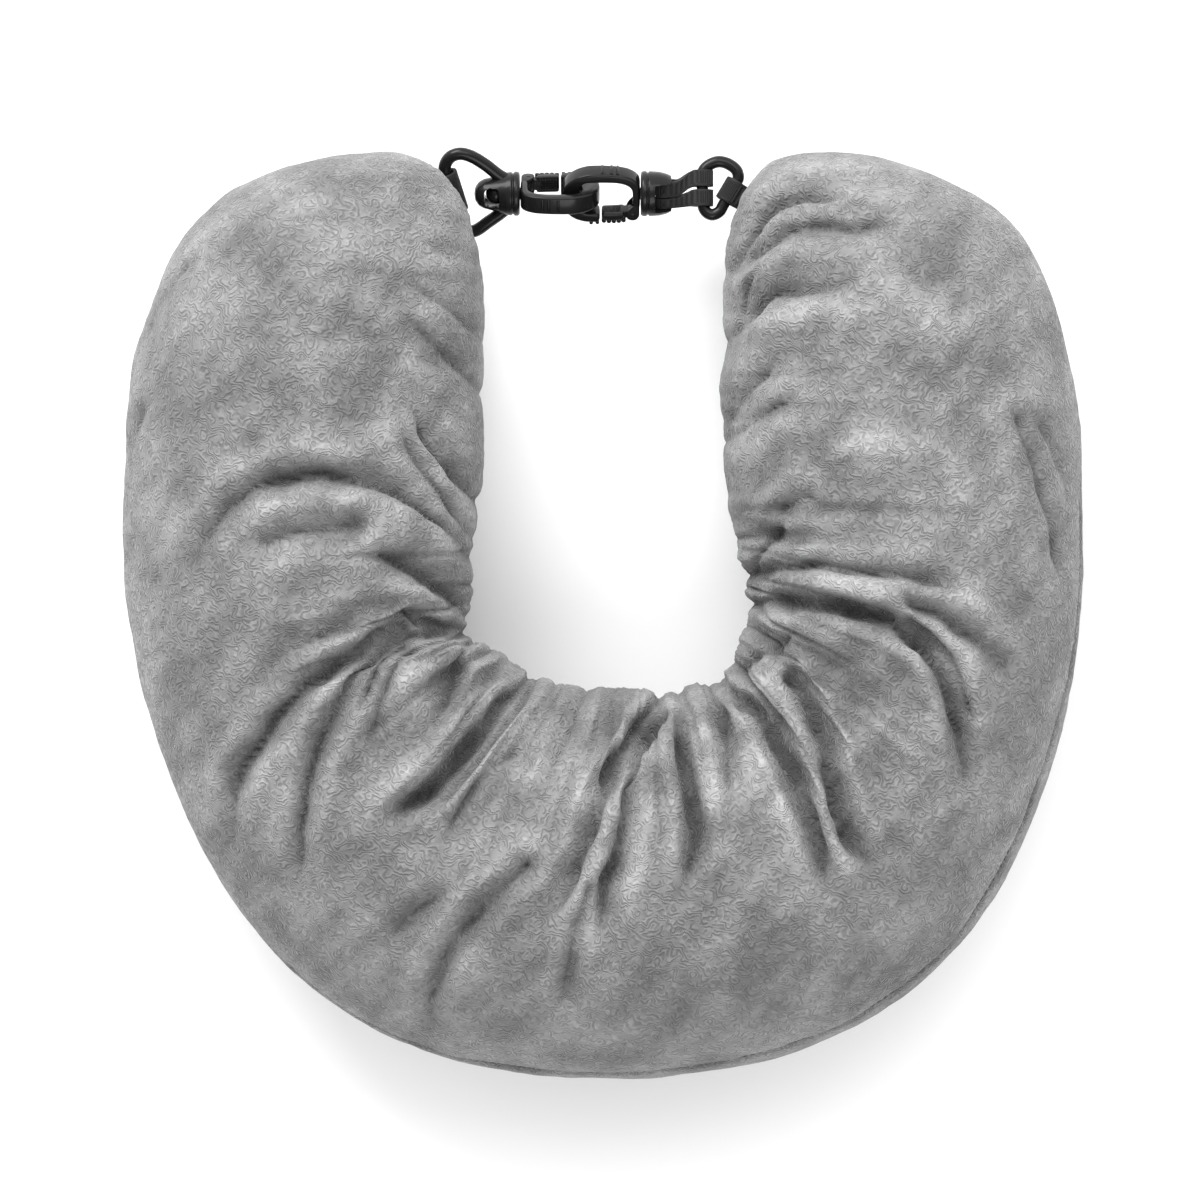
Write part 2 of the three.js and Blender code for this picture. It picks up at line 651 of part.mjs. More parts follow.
// Centre line of the ring: the strap runs round its upright side, at the
// point below, and the tab round its slanted side
const RING_PATH = [
  [42.2, 187.2], [41.8, 184.5], [41.8, 180], [41.8, 175.4], [42.1, 172.4], [43.4, 169.8], [46, 168.6],
  [49, 170], [50.7, 172.9], [52.2, 175.7], [53.8, 178.4], [55.4, 181.1], [56.9, 184], [56.2, 187.3],
  [52.8, 190], [48.6, 191], [44.6, 189.6],
];
const RING_STRAP_SIDE = { x: 41.8, y: 179.8 };
const RING_TAB_SIDE = { x: 53.8, y: 178.4 };
const SLANT = { x: 0.51, y: 0.86 }; // direction of the ring's slanted side

const RIGHT_TAB = { width: 9.5, tail: 18, hole: RING_RADIUS + RING_PLAY };
const rightTabFrame = frameAt(
  [RING_TAB_SIDE.x, RING_TAB_SIDE.y, CLIP_Z],
  [SLANT.y, -SLANT.x, 0],
  [-SLANT.x, -SLANT.y, 0],
);
const rightTab = plate(loopOutline(RIGHT_TAB.hole, RIGHT_TAB.tail), RIGHT_TAB.width);

// The seam that holds a tab's tail
function pocket(tab) {
  const half = WEBBING + FIT;
  const end = tab.tail + FIT;
  const from = tab.hole + 1;
  const slit = outline([[from, -half], [end, -half], [end, half], [from, half]]);
  return plate(slit, tab.width + 2 * FIT);
}

// The ring is a torus laid again along its own centre line
function ringGeometry() {
  const path = new THREE.CatmullRomCurve3(RING_PATH.map(([x, y]) => new THREE.Vector3(x, y, CLIP_Z)), true);
  const geometry = new THREE.TorusGeometry(10, RING_RADIUS, 10, 40);
  const { position, uv } = geometry.attributes;
  for (let i = 0; i < position.count; i += 1) {
    const share = uv.getX(i) % 1;
    const round = 2 * Math.PI * uv.getY(i);
    const ahead = path.getTangent(share);
    const outside = new THREE.Vector3(ahead.y, -ahead.x, 0);
    const point = path.getPoint(share).addScaledVector(outside, RING_RADIUS * Math.cos(round));
    position.setXYZ(i, point.x, point.y, point.z + RING_RADIUS * Math.sin(round));
  }
  return geometry;
}

// The strap joins the fork's pin to the ring: on the way it turns flat,
// spreads and climbs to the middle of the ring's side
function strapGeometry() {
  const pinX = RIGHT_FACE + STRAP_PIN_AT;
  const span = RING_STRAP_SIDE.x - pinX;
  const shape = strapOutline(STRAP_PIN_RADIUS + FIT, RING_RADIUS + RING_PLAY, span);
  const geometry = plate(shape, STRAP_WIDTH);
  geometry.applyMatrix4(frameAt([0, 0, 0], [1, 0, 0], [0, -1, 0]));
  const { position } = geometry.attributes;
  for (let i = 0; i < position.count; i += 1) {
    const x = position.getX(i);
    const along = THREE.MathUtils.smoothstep(x, STRAP_FREE, span - 3);
    const turn = STRAP_ROLL * (1 - along);
    const y = position.getY(i) * THREE.MathUtils.lerp(1, STRAP_SPREAD / STRAP_WIDTH, along);
    const z = position.getZ(i);
    position.setXYZ(
      i,
      pinX + x,
      CLIP_Y + (RING_STRAP_SIDE.y - CLIP_Y) * along + y * Math.cos(turn) - z * Math.sin(turn),
      CLIP_Z + y * Math.sin(turn) + z * Math.cos(turn),
    );
  }
  return geometry;
}

// The object

const pillowSolid = cut(
  solidOf(pillowGeometry()),
  solidOf(pocket(LEFT_TAB), leftTabFrame),
  solidOf(pocket(RIGHT_TAB), rightTabFrame),
);

function placed(mesh, matrix) {
  mesh.applyMatrix4(matrix);
  return mesh;
}

const leftHookFrame = chainFrame(LEFT_FACE + FIT, LEFT_ROLL, false);
const rightHookFrame = chainFrame(RIGHT_FACE - FIT, RIGHT_ROLL, true);

const group = new THREE.Group();
group.add(
  node('pillow', geometryOf(pillowSolid), PLUSH),
  placed(node('left_tab', leftTab, BAND), leftTabFrame),
  placed(node('left_base', geometryOf(leftBase()), PLASTIC), leftLoopFrame),
  placed(node('left_hook', geometryOf(hookSolid(ballHead())), PLASTIC), leftHookFrame),
  placed(node('left_gate', geometryOf(gateSolid()), PLASTIC), leftHookFrame),
  placed(node('right_hook', geometryOf(hookSolid(discHead())), PLASTIC), rightHookFrame),
  placed(node('right_gate', geometryOf(gateSolid()), PLASTIC), rightHookFrame),
  placed(node('right_base', geometryOf(rightBase()), PLASTIC), rightForkFrame),
  node('right_strap', strapGeometry(), BAND),
  node('right_ring', ringGeometry(), PLASTIC),
  placed(node('right_tab', rightTab, BAND), rightTabFrame),
);

export default group;
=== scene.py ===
import math

import bmesh
import bpy
import numpy as np
from mathutils import Matrix, Vector, noise
from mathutils.bvhtree import BVHTree


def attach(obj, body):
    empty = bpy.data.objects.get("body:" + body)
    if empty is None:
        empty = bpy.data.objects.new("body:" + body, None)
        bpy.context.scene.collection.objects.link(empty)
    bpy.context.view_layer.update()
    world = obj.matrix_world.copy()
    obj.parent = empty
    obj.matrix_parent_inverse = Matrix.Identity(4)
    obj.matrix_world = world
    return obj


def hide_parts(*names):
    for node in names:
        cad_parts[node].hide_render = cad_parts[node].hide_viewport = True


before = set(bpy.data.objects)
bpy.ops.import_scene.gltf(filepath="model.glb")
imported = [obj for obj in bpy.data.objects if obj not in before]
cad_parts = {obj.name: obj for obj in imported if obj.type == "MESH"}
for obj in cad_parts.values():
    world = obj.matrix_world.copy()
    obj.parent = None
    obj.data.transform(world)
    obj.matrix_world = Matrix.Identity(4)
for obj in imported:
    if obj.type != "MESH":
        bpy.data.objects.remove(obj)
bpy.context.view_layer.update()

# The looks of a stuffed plush travel pillow with a chain of swivel hooks.
# Tables are in millimetres, as in the part; everything is built in metres.

MM = 0.001

# Points nearer than this, in a builder's own unit, are one
MERGE = 1e-4

# Places and sizes shared with the part

CLIP_Y = 177.5
CLIP_Z = 44
LEFT_FACE = -35.3
RIGHT_FACE = 15.7
FIT = 0.3
LEFT_ROLL = math.radians(-58)
RIGHT_ROLL = math.radians(40)
LOOP_ROLL = math.radians(28)
STRAP_ROLL = math.radians(25)

# Sections of the tube: outer edge, inner edge, lowest and highest level. Then how square a
# section is, the level of its widest place, the share of a fold's depth underneath, and the
# height up to which the cover rests on the floor
SECTIONS = [
    ((-97, 193.8), (-97, 193.8), 58, 58),
    ((-119, 190.5), (-80, 191.5), 36, 81),
    ((-141, 183.5), (-66, 184), 20, 99),
    ((-160, 173.5), (-57, 171), 9, 110),
    ((-176, 157), (-52, 153), 2, 118),
    ((-187, 136), (-50, 131), -1, 123),
    ((-196, 110), (-50, 106), -3, 126),
    ((-200, 75), (-50, 76), -3, 127),
    ((-200.5, 40), (-51, 45), -3, 128),
    ((-199.5, 8), (-53.5, 22), -3, 128),
    ((-195, -22), (-54, 5), -3, 127),
    ((-185, -57), (-53.5, -7), -3, 127),
    ((-168, -98.5), (-45, -13.5), -3, 127),
    ((-141, -138), (-33, -21.5), -3, 128),
    ((-107, -167), (-20, -28), -3, 129),
    ((-62, -186.5), (-6, -30.5), -3, 130),
    ((-8, -194), (10, -30.5), -3, 130),
    ((48, -190.5), (25, -30), -3, 130),
    ((95, -177), (40, -28.5), -3, 129),
    ((134, -153), (51, -22), -3, 128),
    ((163, -119), (57, -11), -3, 127),
    ((182.5, -78), (60, 0), -3, 127),
    ((194, -38), (57.5, 13), -3, 128),
    ((199.5, 2), (56, 26), -3, 128),
    ((200.5, 45), (51, 50), -3, 128),
    ((198.5, 85), (49, 84), -3, 127),
    ((193, 112), (50, 112), -3, 125),
    ((184, 142), (50, 136), 0, 121),
    ((171.5, 162.5), (51, 156), 4, 115),
    ((155, 175), (55, 171), 11, 107),
    ((134, 184.5), (62.5, 183), 22, 96),
    ((110, 191.5), (73, 191), 37, 80),
    ((91, 194), (91, 194), 58, 58),
]
SECTION_ROUND = 2.15
BELLY = 0.48
UNDER_FOLD = 0.45
REST_BAND = 9

# Folds of the plush seen from above: depth (a ridge where it is negative),
# half width, and a path from the deep end to where it fades
FOLDS = [
    # Left arm
    (7, 5, [(-50, 18), (-56, 26), (-65, 38), (-87, 51), (-108, 56), (-129, 56), (-150, 46),
            (-162, 29), (-169, 10)]),
    (8, 9, [(-72, 48), (-86, 54), (-101, 55)]),
    (-4, 6, [(-56, 22), (-65, 33), (-83, 45), (-114, 43), (-146, 38)]),
    (8, 4.5, [(-50, 43), (-53, 48), (-62, 60), (-73, 74), (-81, 90)]),
    (7, 4, [(-50, 25), (-55, 33), (-68, 52), (-78, 67), (-87, 88)]),
    (-3, 3.5, [(-55, 40), (-68, 60), (-83, 81)]),
    (4, 6, [(-100, 36), (-127, 32), (-143, 28)]),
    (7, 5, [(-50, -9), (-55, -3), (-61, 7), (-73, 16), (-88, 23), (-108, 24)]),
    (-3, 8, [(-63, 1), (-75, 10), (-91, 15)]),
    (9, 4.5, [(-50, -8), (-55, -7), (-73, -3), (-88, 4)]),
    (6, 4, [(-50, -8), (-72, -7), (-87, -8)]),
    (4, 6, [(-50, 90), (-56, 98), (-68, 110), (-83, 123)]),
    (3, 6, [(-50, 112), (-56, 119), (-68, 129), (-85, 138)]),
    (3, 6, [(-173, 144), (-185, 126), (-191, 112)]),
    (4, 5, [(-190, 83), (-195, 69), (-197, 56)]),
    # Left bend
    (8, 4.5, [(-80, -5), (-87, -8), (-110, -21), (-128, -37), (-140, -52), (-149, -67),
              (-152, -83), (-151, -99)]),
    (3.5, 5, [(-105, -3), (-127, -15), (-147, -33)]),
    (7, 4.5, [(-82, -8), (-90, -15), (-105, -32), (-116, -56), (-122, -78), (-124, -99),
              (-123, -120)]),
    (5, 4, [(-80, -11), (-87, -17), (-96, -32), (-102, -46)]),
    (5, 4, [(-77, -14), (-84, -21), (-91, -40), (-97, -57)]),
    (5, 4.5, [(-52, -9), (-57, -15), (-64, -32), (-71, -54)]),
    (5, 4, [(-37, -17), (-43, -22), (-53, -36), (-60, -49)]),
    (10, 4.5, [(-25, -21), (-31, -26), (-42, -38), (-56, -55), (-69, -70), (-84, -80), (-92, -90)]),
    (4, 6, [(-35, -55), (-47, -65), (-60, -83), (-66, -99)]),
    (4, 5, [(-68, -115), (-78, -122), (-86, -135)]),
    (6, 5, [(-32, -101), (-43, -114), (-56, -126), (-66, -143), (-71, -161), (-68, -172)]),
    # Middle of the bend
    (5, 14, [(-23, -45), (-6, -48), (12, -45)]),
    (10, 4, [(26, -28), (22, -35), (7, -58), (-2, -75), (-8, -95), (-16, -113), (-20, -122)]),
    (9, 5.5, [(24, -40), (14, -55), (10, -75), (6, -95), (0, -112), (0, -127), (4, -140)]),
    (5, 4, [(-6, -111), (-11, -128), (-14, -145), (-17, -163)]),
    (8, 4, [(31, -29), (32, -40), (33, -57), (36, -74), (37, -90), (35, -104), (32, -120)]),
    (5.5, 4, [(44, -27), (45, -34), (49, -50), (51, -65), (52, -86)]),
    (3, 4, [(22, -65), (27, -79), (26, -91)]),
    # Right bend
    (11, 4.5, [(48, -27), (56, -34), (66, -43), (73, -58), (80, -74), (86, -91), (90, -107),
               (91, -116)]),
    (11, 4.5, [(76, -26), (84, -38), (90, -52), (93, -67), (97, -82), (104, -95), (112, -106)]),
    (5, 8, [(82, -16), (99, -28), (104, -54), (112, -74)]),
    (6, 4, [(48, -28), (54, -23), (66, -15), (81, -5)]),
    (9, 4, [(53, 1), (59, 3), (70, 6), (84, 4), (103, 1), (118, -5), (132, -16), (141, -33),
            (145, -50), (147, -66), (147, -80)]),
    (6, 4.5, [(55, 16), (60, 17), (78, 20), (103, 18), (124, 16), (137, 12), (154, 5)]),
    (-5, 4, [(62, 10), (82, 14), (107, 11), (132, 9), (153, 3), (166, -15)]),
    (6, 4, [(124, 5), (141, -3), (160, -18), (168, -28)]),
    (6, 4.5, [(124, -5), (139, -18), (147, -36), (152, -45)]),
    (-5, 12, [(82, -8), (101, -8)]),
    (-4, 12, [(59, -28), (76, -26)]),
    # Right arm
    (8, 6, [(55, 12), (60, 18), (68, 29), (74, 39)]),
    (5, 5, [(72, 43), (80, 47), (88, 48)]),
    (4, 6, [(169, 79), (178, 53), (185, 31), (189, 5)]),
    (3, 6, [(179, 77), (190, 56), (193, 39)]),
    (6, 5, [(53, 144), (68, 166), (82, 171), (106, 170)]),
    (6, 5, [(59, 147), (78, 158), (103, 158), (124, 161)]),
    (5, 7, [(50, 113), (57, 119), (68, 131), (82, 132), (104, 135)]),
    (5, 4, [(50, 113), (56, 119), (58, 133), (65, 147)]),
    (5, 5, [(50, 78), (55, 85), (63, 96), (72, 105)]),
    (5, 5, [(50, 72), (56, 76), (68, 84), (82, 89)]),
    (-3, 7, [(80, 146), (99, 141), (120, 131), (137, 117), (150, 100)]),
    (-3, 6, [(62, 118), (76, 125), (92, 124), (106, 114)]),
    (3, 9, [(70, 100), (92, 106), (114, 101), (130, 88)]),
    (-3, 7, [(98, 66), (122, 68), (142, 58), (156, 42)]),
]

# Hollows pressed into the arm ends by the clip chain: place, radius, depth
DENTS = [
    ((-68, 180, 45), 13, 8),
    ((-61, 163, 36), 16, 12),
    ((60, 174, 42), 14, 7),
]

# The lengthwise seam: section, and its angle above the outer edge in degrees. Then how deep
# and wide its groove is
SEAM = [(2, -14), (8, -8), (12, 6), (16, 17), (19, 22), (21, 23), (24, 12), (27, -6), (30, -14)]
SEAM_DEPTH = 2.0
SEAM_WIDTH = 2.2

# Gathers: the sections between which they are full, their height, the share of it on the
# arms, where they lie round the tube, and how fine they are along and round it
GATHERED_ROWS = (9, 25)
GATHER = 3.0
ARM_GATHER = 0.3
GATHER_SIDE = (-0.75, 0.7)
GATHER_HEIGHT = (-0.4, 0.3)
GATHER_SCALE = (2.3, 0.9, 0.6)
FINE_SCALE = (2.4, 1.3, 1.3)

# Shares of a fold's depth: its trough, the crease along it and the swellings beside it
TROUGH = 0.62
CREASE = 0.8
CREASE_WIDTH = 1.6
PUFF = 0.38

# Folds from this half width on have no crease. A fold's width grows by a share to its end,
# its line sways, it fades over the last share of its length, and creases vary in depth
BROAD = 8
FOLD_SPREAD = 0.35
SWAY = 1.3
SWAY_SIZE = 12
FADE = 0.3
VARY_SIZE = 17
VARY_RANGE = (0.6, 1.2)

# Points on a fold's smooth line
FOLD_POINTS = 18

# Folds lose a share of their depth from here out to the rims, and start some rows from the
# ends. Swellings stop short of the rims
RIM_START = 0.8
RIM_LOSS = 0.6
END_ROWS = 2
PUFF_RIM = 0.25

# The swelling beside a fold: how far from its line and how wide, in widths, and its limit
PUFF_PLACE = 1.6
PUFF_WIDTH = 0.75
PUFF_LIMIT = 6

# The mesh before it is refined: rings along the tube, points around it, and
# the share of these that lie on the upper side
ALONG = 280
AROUND = 116
TOP_SHARE = 0.7

# How the filling presses on the cover, over how many frames, and how far a point moves at most
FILLING = {
    "quality": 4,
    "mass": 0.3,
    "tension_stiffness": 12,
    "compression_stiffness": 12,
    "shear_stiffness": 5,
    "bending_stiffness": 0.6,
    "use_pressure": True,
    "uniform_pressure_force": 4,
    "pin_stiffness": 1,
}
CLOTH_FRAMES = 14
SWELL_LIMIT = 6

# Levels between which the cover is held on the floor, and depths between which a fold is held
HELD_LEVELS = (2 * MM, 12 * MM)
HELD_DEPTHS = (1.5, 5)
FOLD_HOLD = 0.75

# Lumps of the filling: height in millimetres, size in metres and seed
LUMPS = [(0.9, 0.030, 1), (0.5, 0.014, 2), (0.25, 0.006, 3)]
FREE_LEVELS = (2 * MM, 15 * MM)

# How much painted shade folds, creases, the seam and gathers put on the pile, and how much painted
# highlight swellings and gather ridges put on it
SOFT_PAINTED_SHADE = 0.13
SHARP_PAINTED_SHADE = 1.1
FOLD_PAINTED_SHADE = 5
SEAM_PAINTED_SHADE = 4
GATHER_PAINTED_SHADE = 6
PUFF_PAINTED_HIGHLIGHT = 4

# Mean radius of the tube, round which the seam is measured
TUBE_RADIUS = 72


# The pillow's surface

def curve_at(points, place):
    """Points of a smooth curve through all rows of points, at places counted in rows."""
    table = np.vstack([2 * points[0] - points[1], points, 2 * points[-1] - points[-2]])
    index = np.clip(np.floor(place).astype(int), 0, len(points) - 2)
    t = (place - index)[:, None]
    a, b, c, d = (table[index + k] for k in range(4))
    square = 2 * a - 5 * b + 4 * c - d
    cube = 3 * b - 3 * c + d - a
    return 0.5 * (2 * b + (c - a) * t + square * t**2 + cube * t**3)


def power(values, exponent):
    """A power that keeps each value's sign."""
    return np.sign(values) * np.abs(values) ** exponent


def smooth_step(values, low, high):
    """Rises smoothly from 0 at low to 1 at high."""
    t = np.clip((values - low) / (high - low), 0, 1)
    return t * t * (3 - 2 * t)


OUTER = np.array([(*outer, high) for outer, inner, low, high in SECTIONS], float)
INNER = np.array([(*inner, low) for outer, inner, low, high in SECTIONS], float)
LAST = len(SECTIONS) - 1

# Steps by which the surface's directions are measured, and how near they come to a pole
ROW_STEP = 0.05
ANGLE_STEP = 0.03
POLE_GAP = 0.02


def tube_points(row, angle):
    """Points of the smooth tube: angle runs from the outer edge over the top to the inner edge."""
    outer = curve_at(OUTER, row)
    inner = curve_at(INNER, row)
    high, low = outer[:, 2], inner[:, 2]
    widest = low + (high - low) * BELLY
    across = power(np.cos(angle), 2 / SECTION_ROUND)[:, None]
    up = power(np.sin(angle), 2 / SECTION_ROUND)
    flat = (outer[:, :2] + inner[:, :2]) / 2 + (outer[:, :2] - inner[:, :2]) / 2 * across
    level = widest + np.where(up > 0, high - widest, widest - low) * up
    return np.column_stack([flat, level])


def outward(row, angle):
    """The direction out of the smooth tube. It keeps off the poles, where it isn't defined."""
    before = np.maximum(row - ROW_STEP, POLE_GAP)
    after = np.minimum(row + ROW_STEP, LAST - POLE_GAP)
    along = tube_points(after, angle) - tube_points(before, angle)
    middle = np.clip(row, POLE_GAP, LAST - POLE_GAP)
    around = tube_points(middle, angle + ANGLE_STEP) - tube_points(middle, angle - ANGLE_STEP)
    normal = np.cross(along, around)
    return normal / np.linalg.norm(normal, axis=1)[:, None]


def distance_to(path, x, y):
    """Each point's distance to a path in plan, and how far along the path it lies."""
    gap = np.full(len(x), np.inf)
    share = np.zeros(len(x))
    for i in range(len(path) - 1):
        a, step = path[i], path[i + 1] - path[i]
        t = np.clip(((x - a[0]) * step[0] + (y - a[1]) * step[1]) / (step @ step), 0, 1)
        d = np.hypot(x - a[0] - t * step[0], y - a[1] - t * step[1])
        nearer = d < gap
        gap[nearer] = d[nearer]
        share[nearer] = ((i + t) / (len(path) - 1))[nearer]
    return gap, share


def fold_relief(x, y):
    """How far folds sink the cloth softly and sharply, and how much they puff it up beside them."""
    soft = np.zeros(len(x))
    sharp = np.zeros(len(x))
    raised = np.zeros(len(x))
    places = np.column_stack([x, y, np.zeros(len(x))])
    vary = np.clip(0.9 + 0.8 * uneven(places, VARY_SIZE, 4), *VARY_RANGE)
    x = x + SWAY * uneven(places, SWAY_SIZE, 5)
    y = y + SWAY * uneven(places, SWAY_SIZE, 6)
    for depth, width, path in FOLDS:
        points = np.array(path, float)
        smooth = curve_at(points, np.linspace(0, len(points) - 1, FOLD_POINTS))
        gap, share = distance_to(smooth, x, y)
        ends = smooth_step(1 - share, 0, FADE)
        if depth > 0:
            spread = width * (1 + FOLD_SPREAD * share)
            soft += (TROUGH * depth * ends * np.exp(-np.sqrt(gap**2 + 1) / spread)) ** 2
            if width < BROAD:
                sharp += (CREASE * depth * ends * vary * np.exp(-gap / CREASE_WIDTH)) ** 2
            beside = (gap - PUFF_PLACE * spread) / (PUFF_WIDTH * spread)
            raised += PUFF * depth * ends * np.exp(-(beside**2))
        else:
            raised -= depth * ends * np.exp(-((gap / width) ** 2))
    return np.sqrt(soft), np.sqrt(sharp), np.minimum(raised, PUFF_LIMIT)


def seam_angle(row):
    """The seam's angle round the tube."""
    rows, angles = zip(*SEAM)
    return np.radians(np.interp(row, rows, angles))


def uneven(points, size, seed):
    """Smooth noise whose lumps are about the given size."""
    offset = Vector((seed, 3 * seed, 7 * seed))
    return np.array([noise.noise(Vector(p) / size + offset) for p in points])


def pillow_rows(count):
    """Rows evenly spread along the tube, closer together over the rounded ends."""
    fine = np.linspace(0, LAST, 2000)
    outer = curve_at(OUTER, fine)
    inner = curve_at(INNER, fine)
    steps = sum(np.linalg.norm(np.diff(edge, axis=0), axis=1) for edge in (outer, inner))
    length = np.concatenate([[0], np.cumsum(steps)])
    return np.interp(np.linspace(0, length[-1], count + 1), length, fine)


def pillow_mesh():
    """A sphere whose poles become the arm ends, laid on the folded tube."""
    bm = bmesh.new()
    bmesh.ops.create_uvsphere(bm, u_segments=AROUND, v_segments=ALONG, radius=1)
    directions = np.array([v.co for v in bm.verts])
    lengthwise = np.arccos(np.clip(directions[:, 2], -1, 1)) / math.pi * ALONG
    row = pillow_rows(ALONG)[np.round(lengthwise).astype(int)]
    turn = np.arctan2(directions[:, 1], directions[:, 0]) / (2 * math.pi) % 1
    turn[turn > 1 - 1e-6] = 0
    above = math.pi * turn / TOP_SHARE
    below = math.pi + math.pi * (turn - TOP_SHARE) / (1 - TOP_SHARE)
    angle = np.where(turn <= TOP_SHARE, above, below)
    points = tube_points(row, angle)
    across = np.cos(angle)
    side = np.sin(angle)
    soft, sharp, raised = fold_relief(points[:, 0], points[:, 1])
    share = fold_share(points[:, 2], row, across, side)
    depth = (soft - raised * smooth_step(1 - np.abs(across), 0, PUFF_RIM)) * share
    for place, radius, deep in DENTS:
        gap = np.linalg.norm(points - np.array(place), axis=1)
        depth = depth + deep * np.exp(-((gap / radius) ** 2))
    points = points - outward(row, angle) * depth[:, None]
    points[:, 2] = np.maximum(points[:, 2], 0)
    for vert, point in zip(bm.verts, points):
        vert.co = Vector(point) * MM
    bmesh.ops.recalc_face_normals(bm, faces=bm.faces)
    mesh = finished_mesh(bm, "pillow_cover")
    keep_value(mesh, "row", row)
    keep_value(mesh, "across", across)
    keep_value(mesh, "side", side)
    return mesh, soft * share


def fold_share(level, row, across, side):
    """Folds are shallower at the rims and below, and there are none at rest or at the arm ends."""
    rim = 1 - RIM_LOSS * smooth_step(np.abs(across), RIM_START, 1)
    share = np.where(side > 0, rim, (1 + side * (1 - UNDER_FOLD)) * rim)
    share = share * smooth_step(level, REST_BAND, 3 * REST_BAND)
    return share * smooth_step(np.minimum(row, LAST - row), 0, END_ROWS)


def keep_value(mesh, name, values):
    """Keeps a number for each point, which a finish or a later step reads."""
    mark = mesh.attributes.get(name) or mesh.attributes.new(name, "FLOAT", "POINT")
    mark.data.foreach_set("value", np.asarray(values, np.float32))


def kept_value(mesh, name):
    values = np.zeros(len(mesh.vertices), np.float32)
    mesh.attributes[name].data.foreach_get("value", values)
    return values


def finished_mesh(bm, name):
    """The mesh of what was built, which is then let go."""
    mesh = bpy.data.meshes.new(name)
    bm.to_mesh(mesh)
    bm.free()
    return mesh


def add_object(name, data):
    made = bpy.data.objects.new(name, data)
    bpy.context.scene.collection.objects.link(made)
    return made


def coordinates(mesh):
    flat = np.zeros(len(mesh.vertices) * 3)
    mesh.vertices.foreach_get("co", flat)
    return flat.reshape(-1, 3)


def set_coordinates(mesh, points):
    mesh.vertices.foreach_set("co", points.astype(np.float32).ravel())
    mesh.update()


def evaluated_mesh(piece):
    """The mesh that a piece's modifiers make."""
    graph = bpy.context.evaluated_depsgraph_get()
    return bpy.data.meshes.new_from_object(piece.evaluated_get(graph))


def stuff(piece, held):
    """Presses the filling against the cover: held points keep their place."""
    start = coordinates(piece.data)
    group = piece.vertex_groups.new(name="held")
    for index, weight in enumerate(held):
        group.add([index], float(weight), "REPLACE")
    cloth = piece.modifiers.new("filling", "CLOTH")
    for name, value in FILLING.items():
        setattr(cloth.settings, name, value)
    cloth.settings.effector_weights.gravity = 0
    cloth.settings.vertex_group_mass = "held"
    cloth.collision_settings.use_collision = False
    cloth.collision_settings.use_self_collision = False
    cloth.point_cache.frame_start = 1
    cloth.point_cache.frame_end = CLOTH_FRAMES
    scene = bpy.context.scene
    for number in range(1, CLOTH_FRAMES + 1):
        scene.frame_set(number)
    swollen = evaluated_mesh(piece)
    moved = coordinates(swollen) - start
    length = np.linalg.norm(moved, axis=1)[:, None]
    moved = moved * np.minimum(1, SWELL_LIMIT * MM / np.maximum(length, 1e-9))
    scene.frame_set(1)
    piece.modifiers.remove(cloth)
    points = start + moved
    points[:, 2] = np.maximum(points[:, 2], 0)
    set_coordinates(piece.data, points)
    bpy.data.meshes.remove(swollen)


def gathers(row, across, side):
    """Small wrinkles that run round the tube from its inside, most of them in the bend."""
    start, end = GATHERED_ROWS
    bend = smooth_step(row, start - 2, start + 2) * smooth_step(-row, -end - 2, -end + 2)
    where = bend + ARM_GATHER * (1 - bend) * smooth_step(np.minimum(row, LAST - row), 0.5, 2.5)
    inner = smooth_step(-across, *GATHER_SIDE) * smooth_step(side, *GATHER_HEIGHT)
    places = np.column_stack([row, across, side]) * GATHER_SCALE
    broad = uneven(places, 1, 7)
    fine = uneven(places * FINE_SCALE, 1, 8)
    return GATHER * where * inner * (broad + 0.5 * fine - 0.8 * np.abs(fine))


def seam_gap(row, angle):
    """How far above the seam a point lies, in millimetres round the tube."""
    return (angle - seam_angle(row)) * TUBE_RADIUS


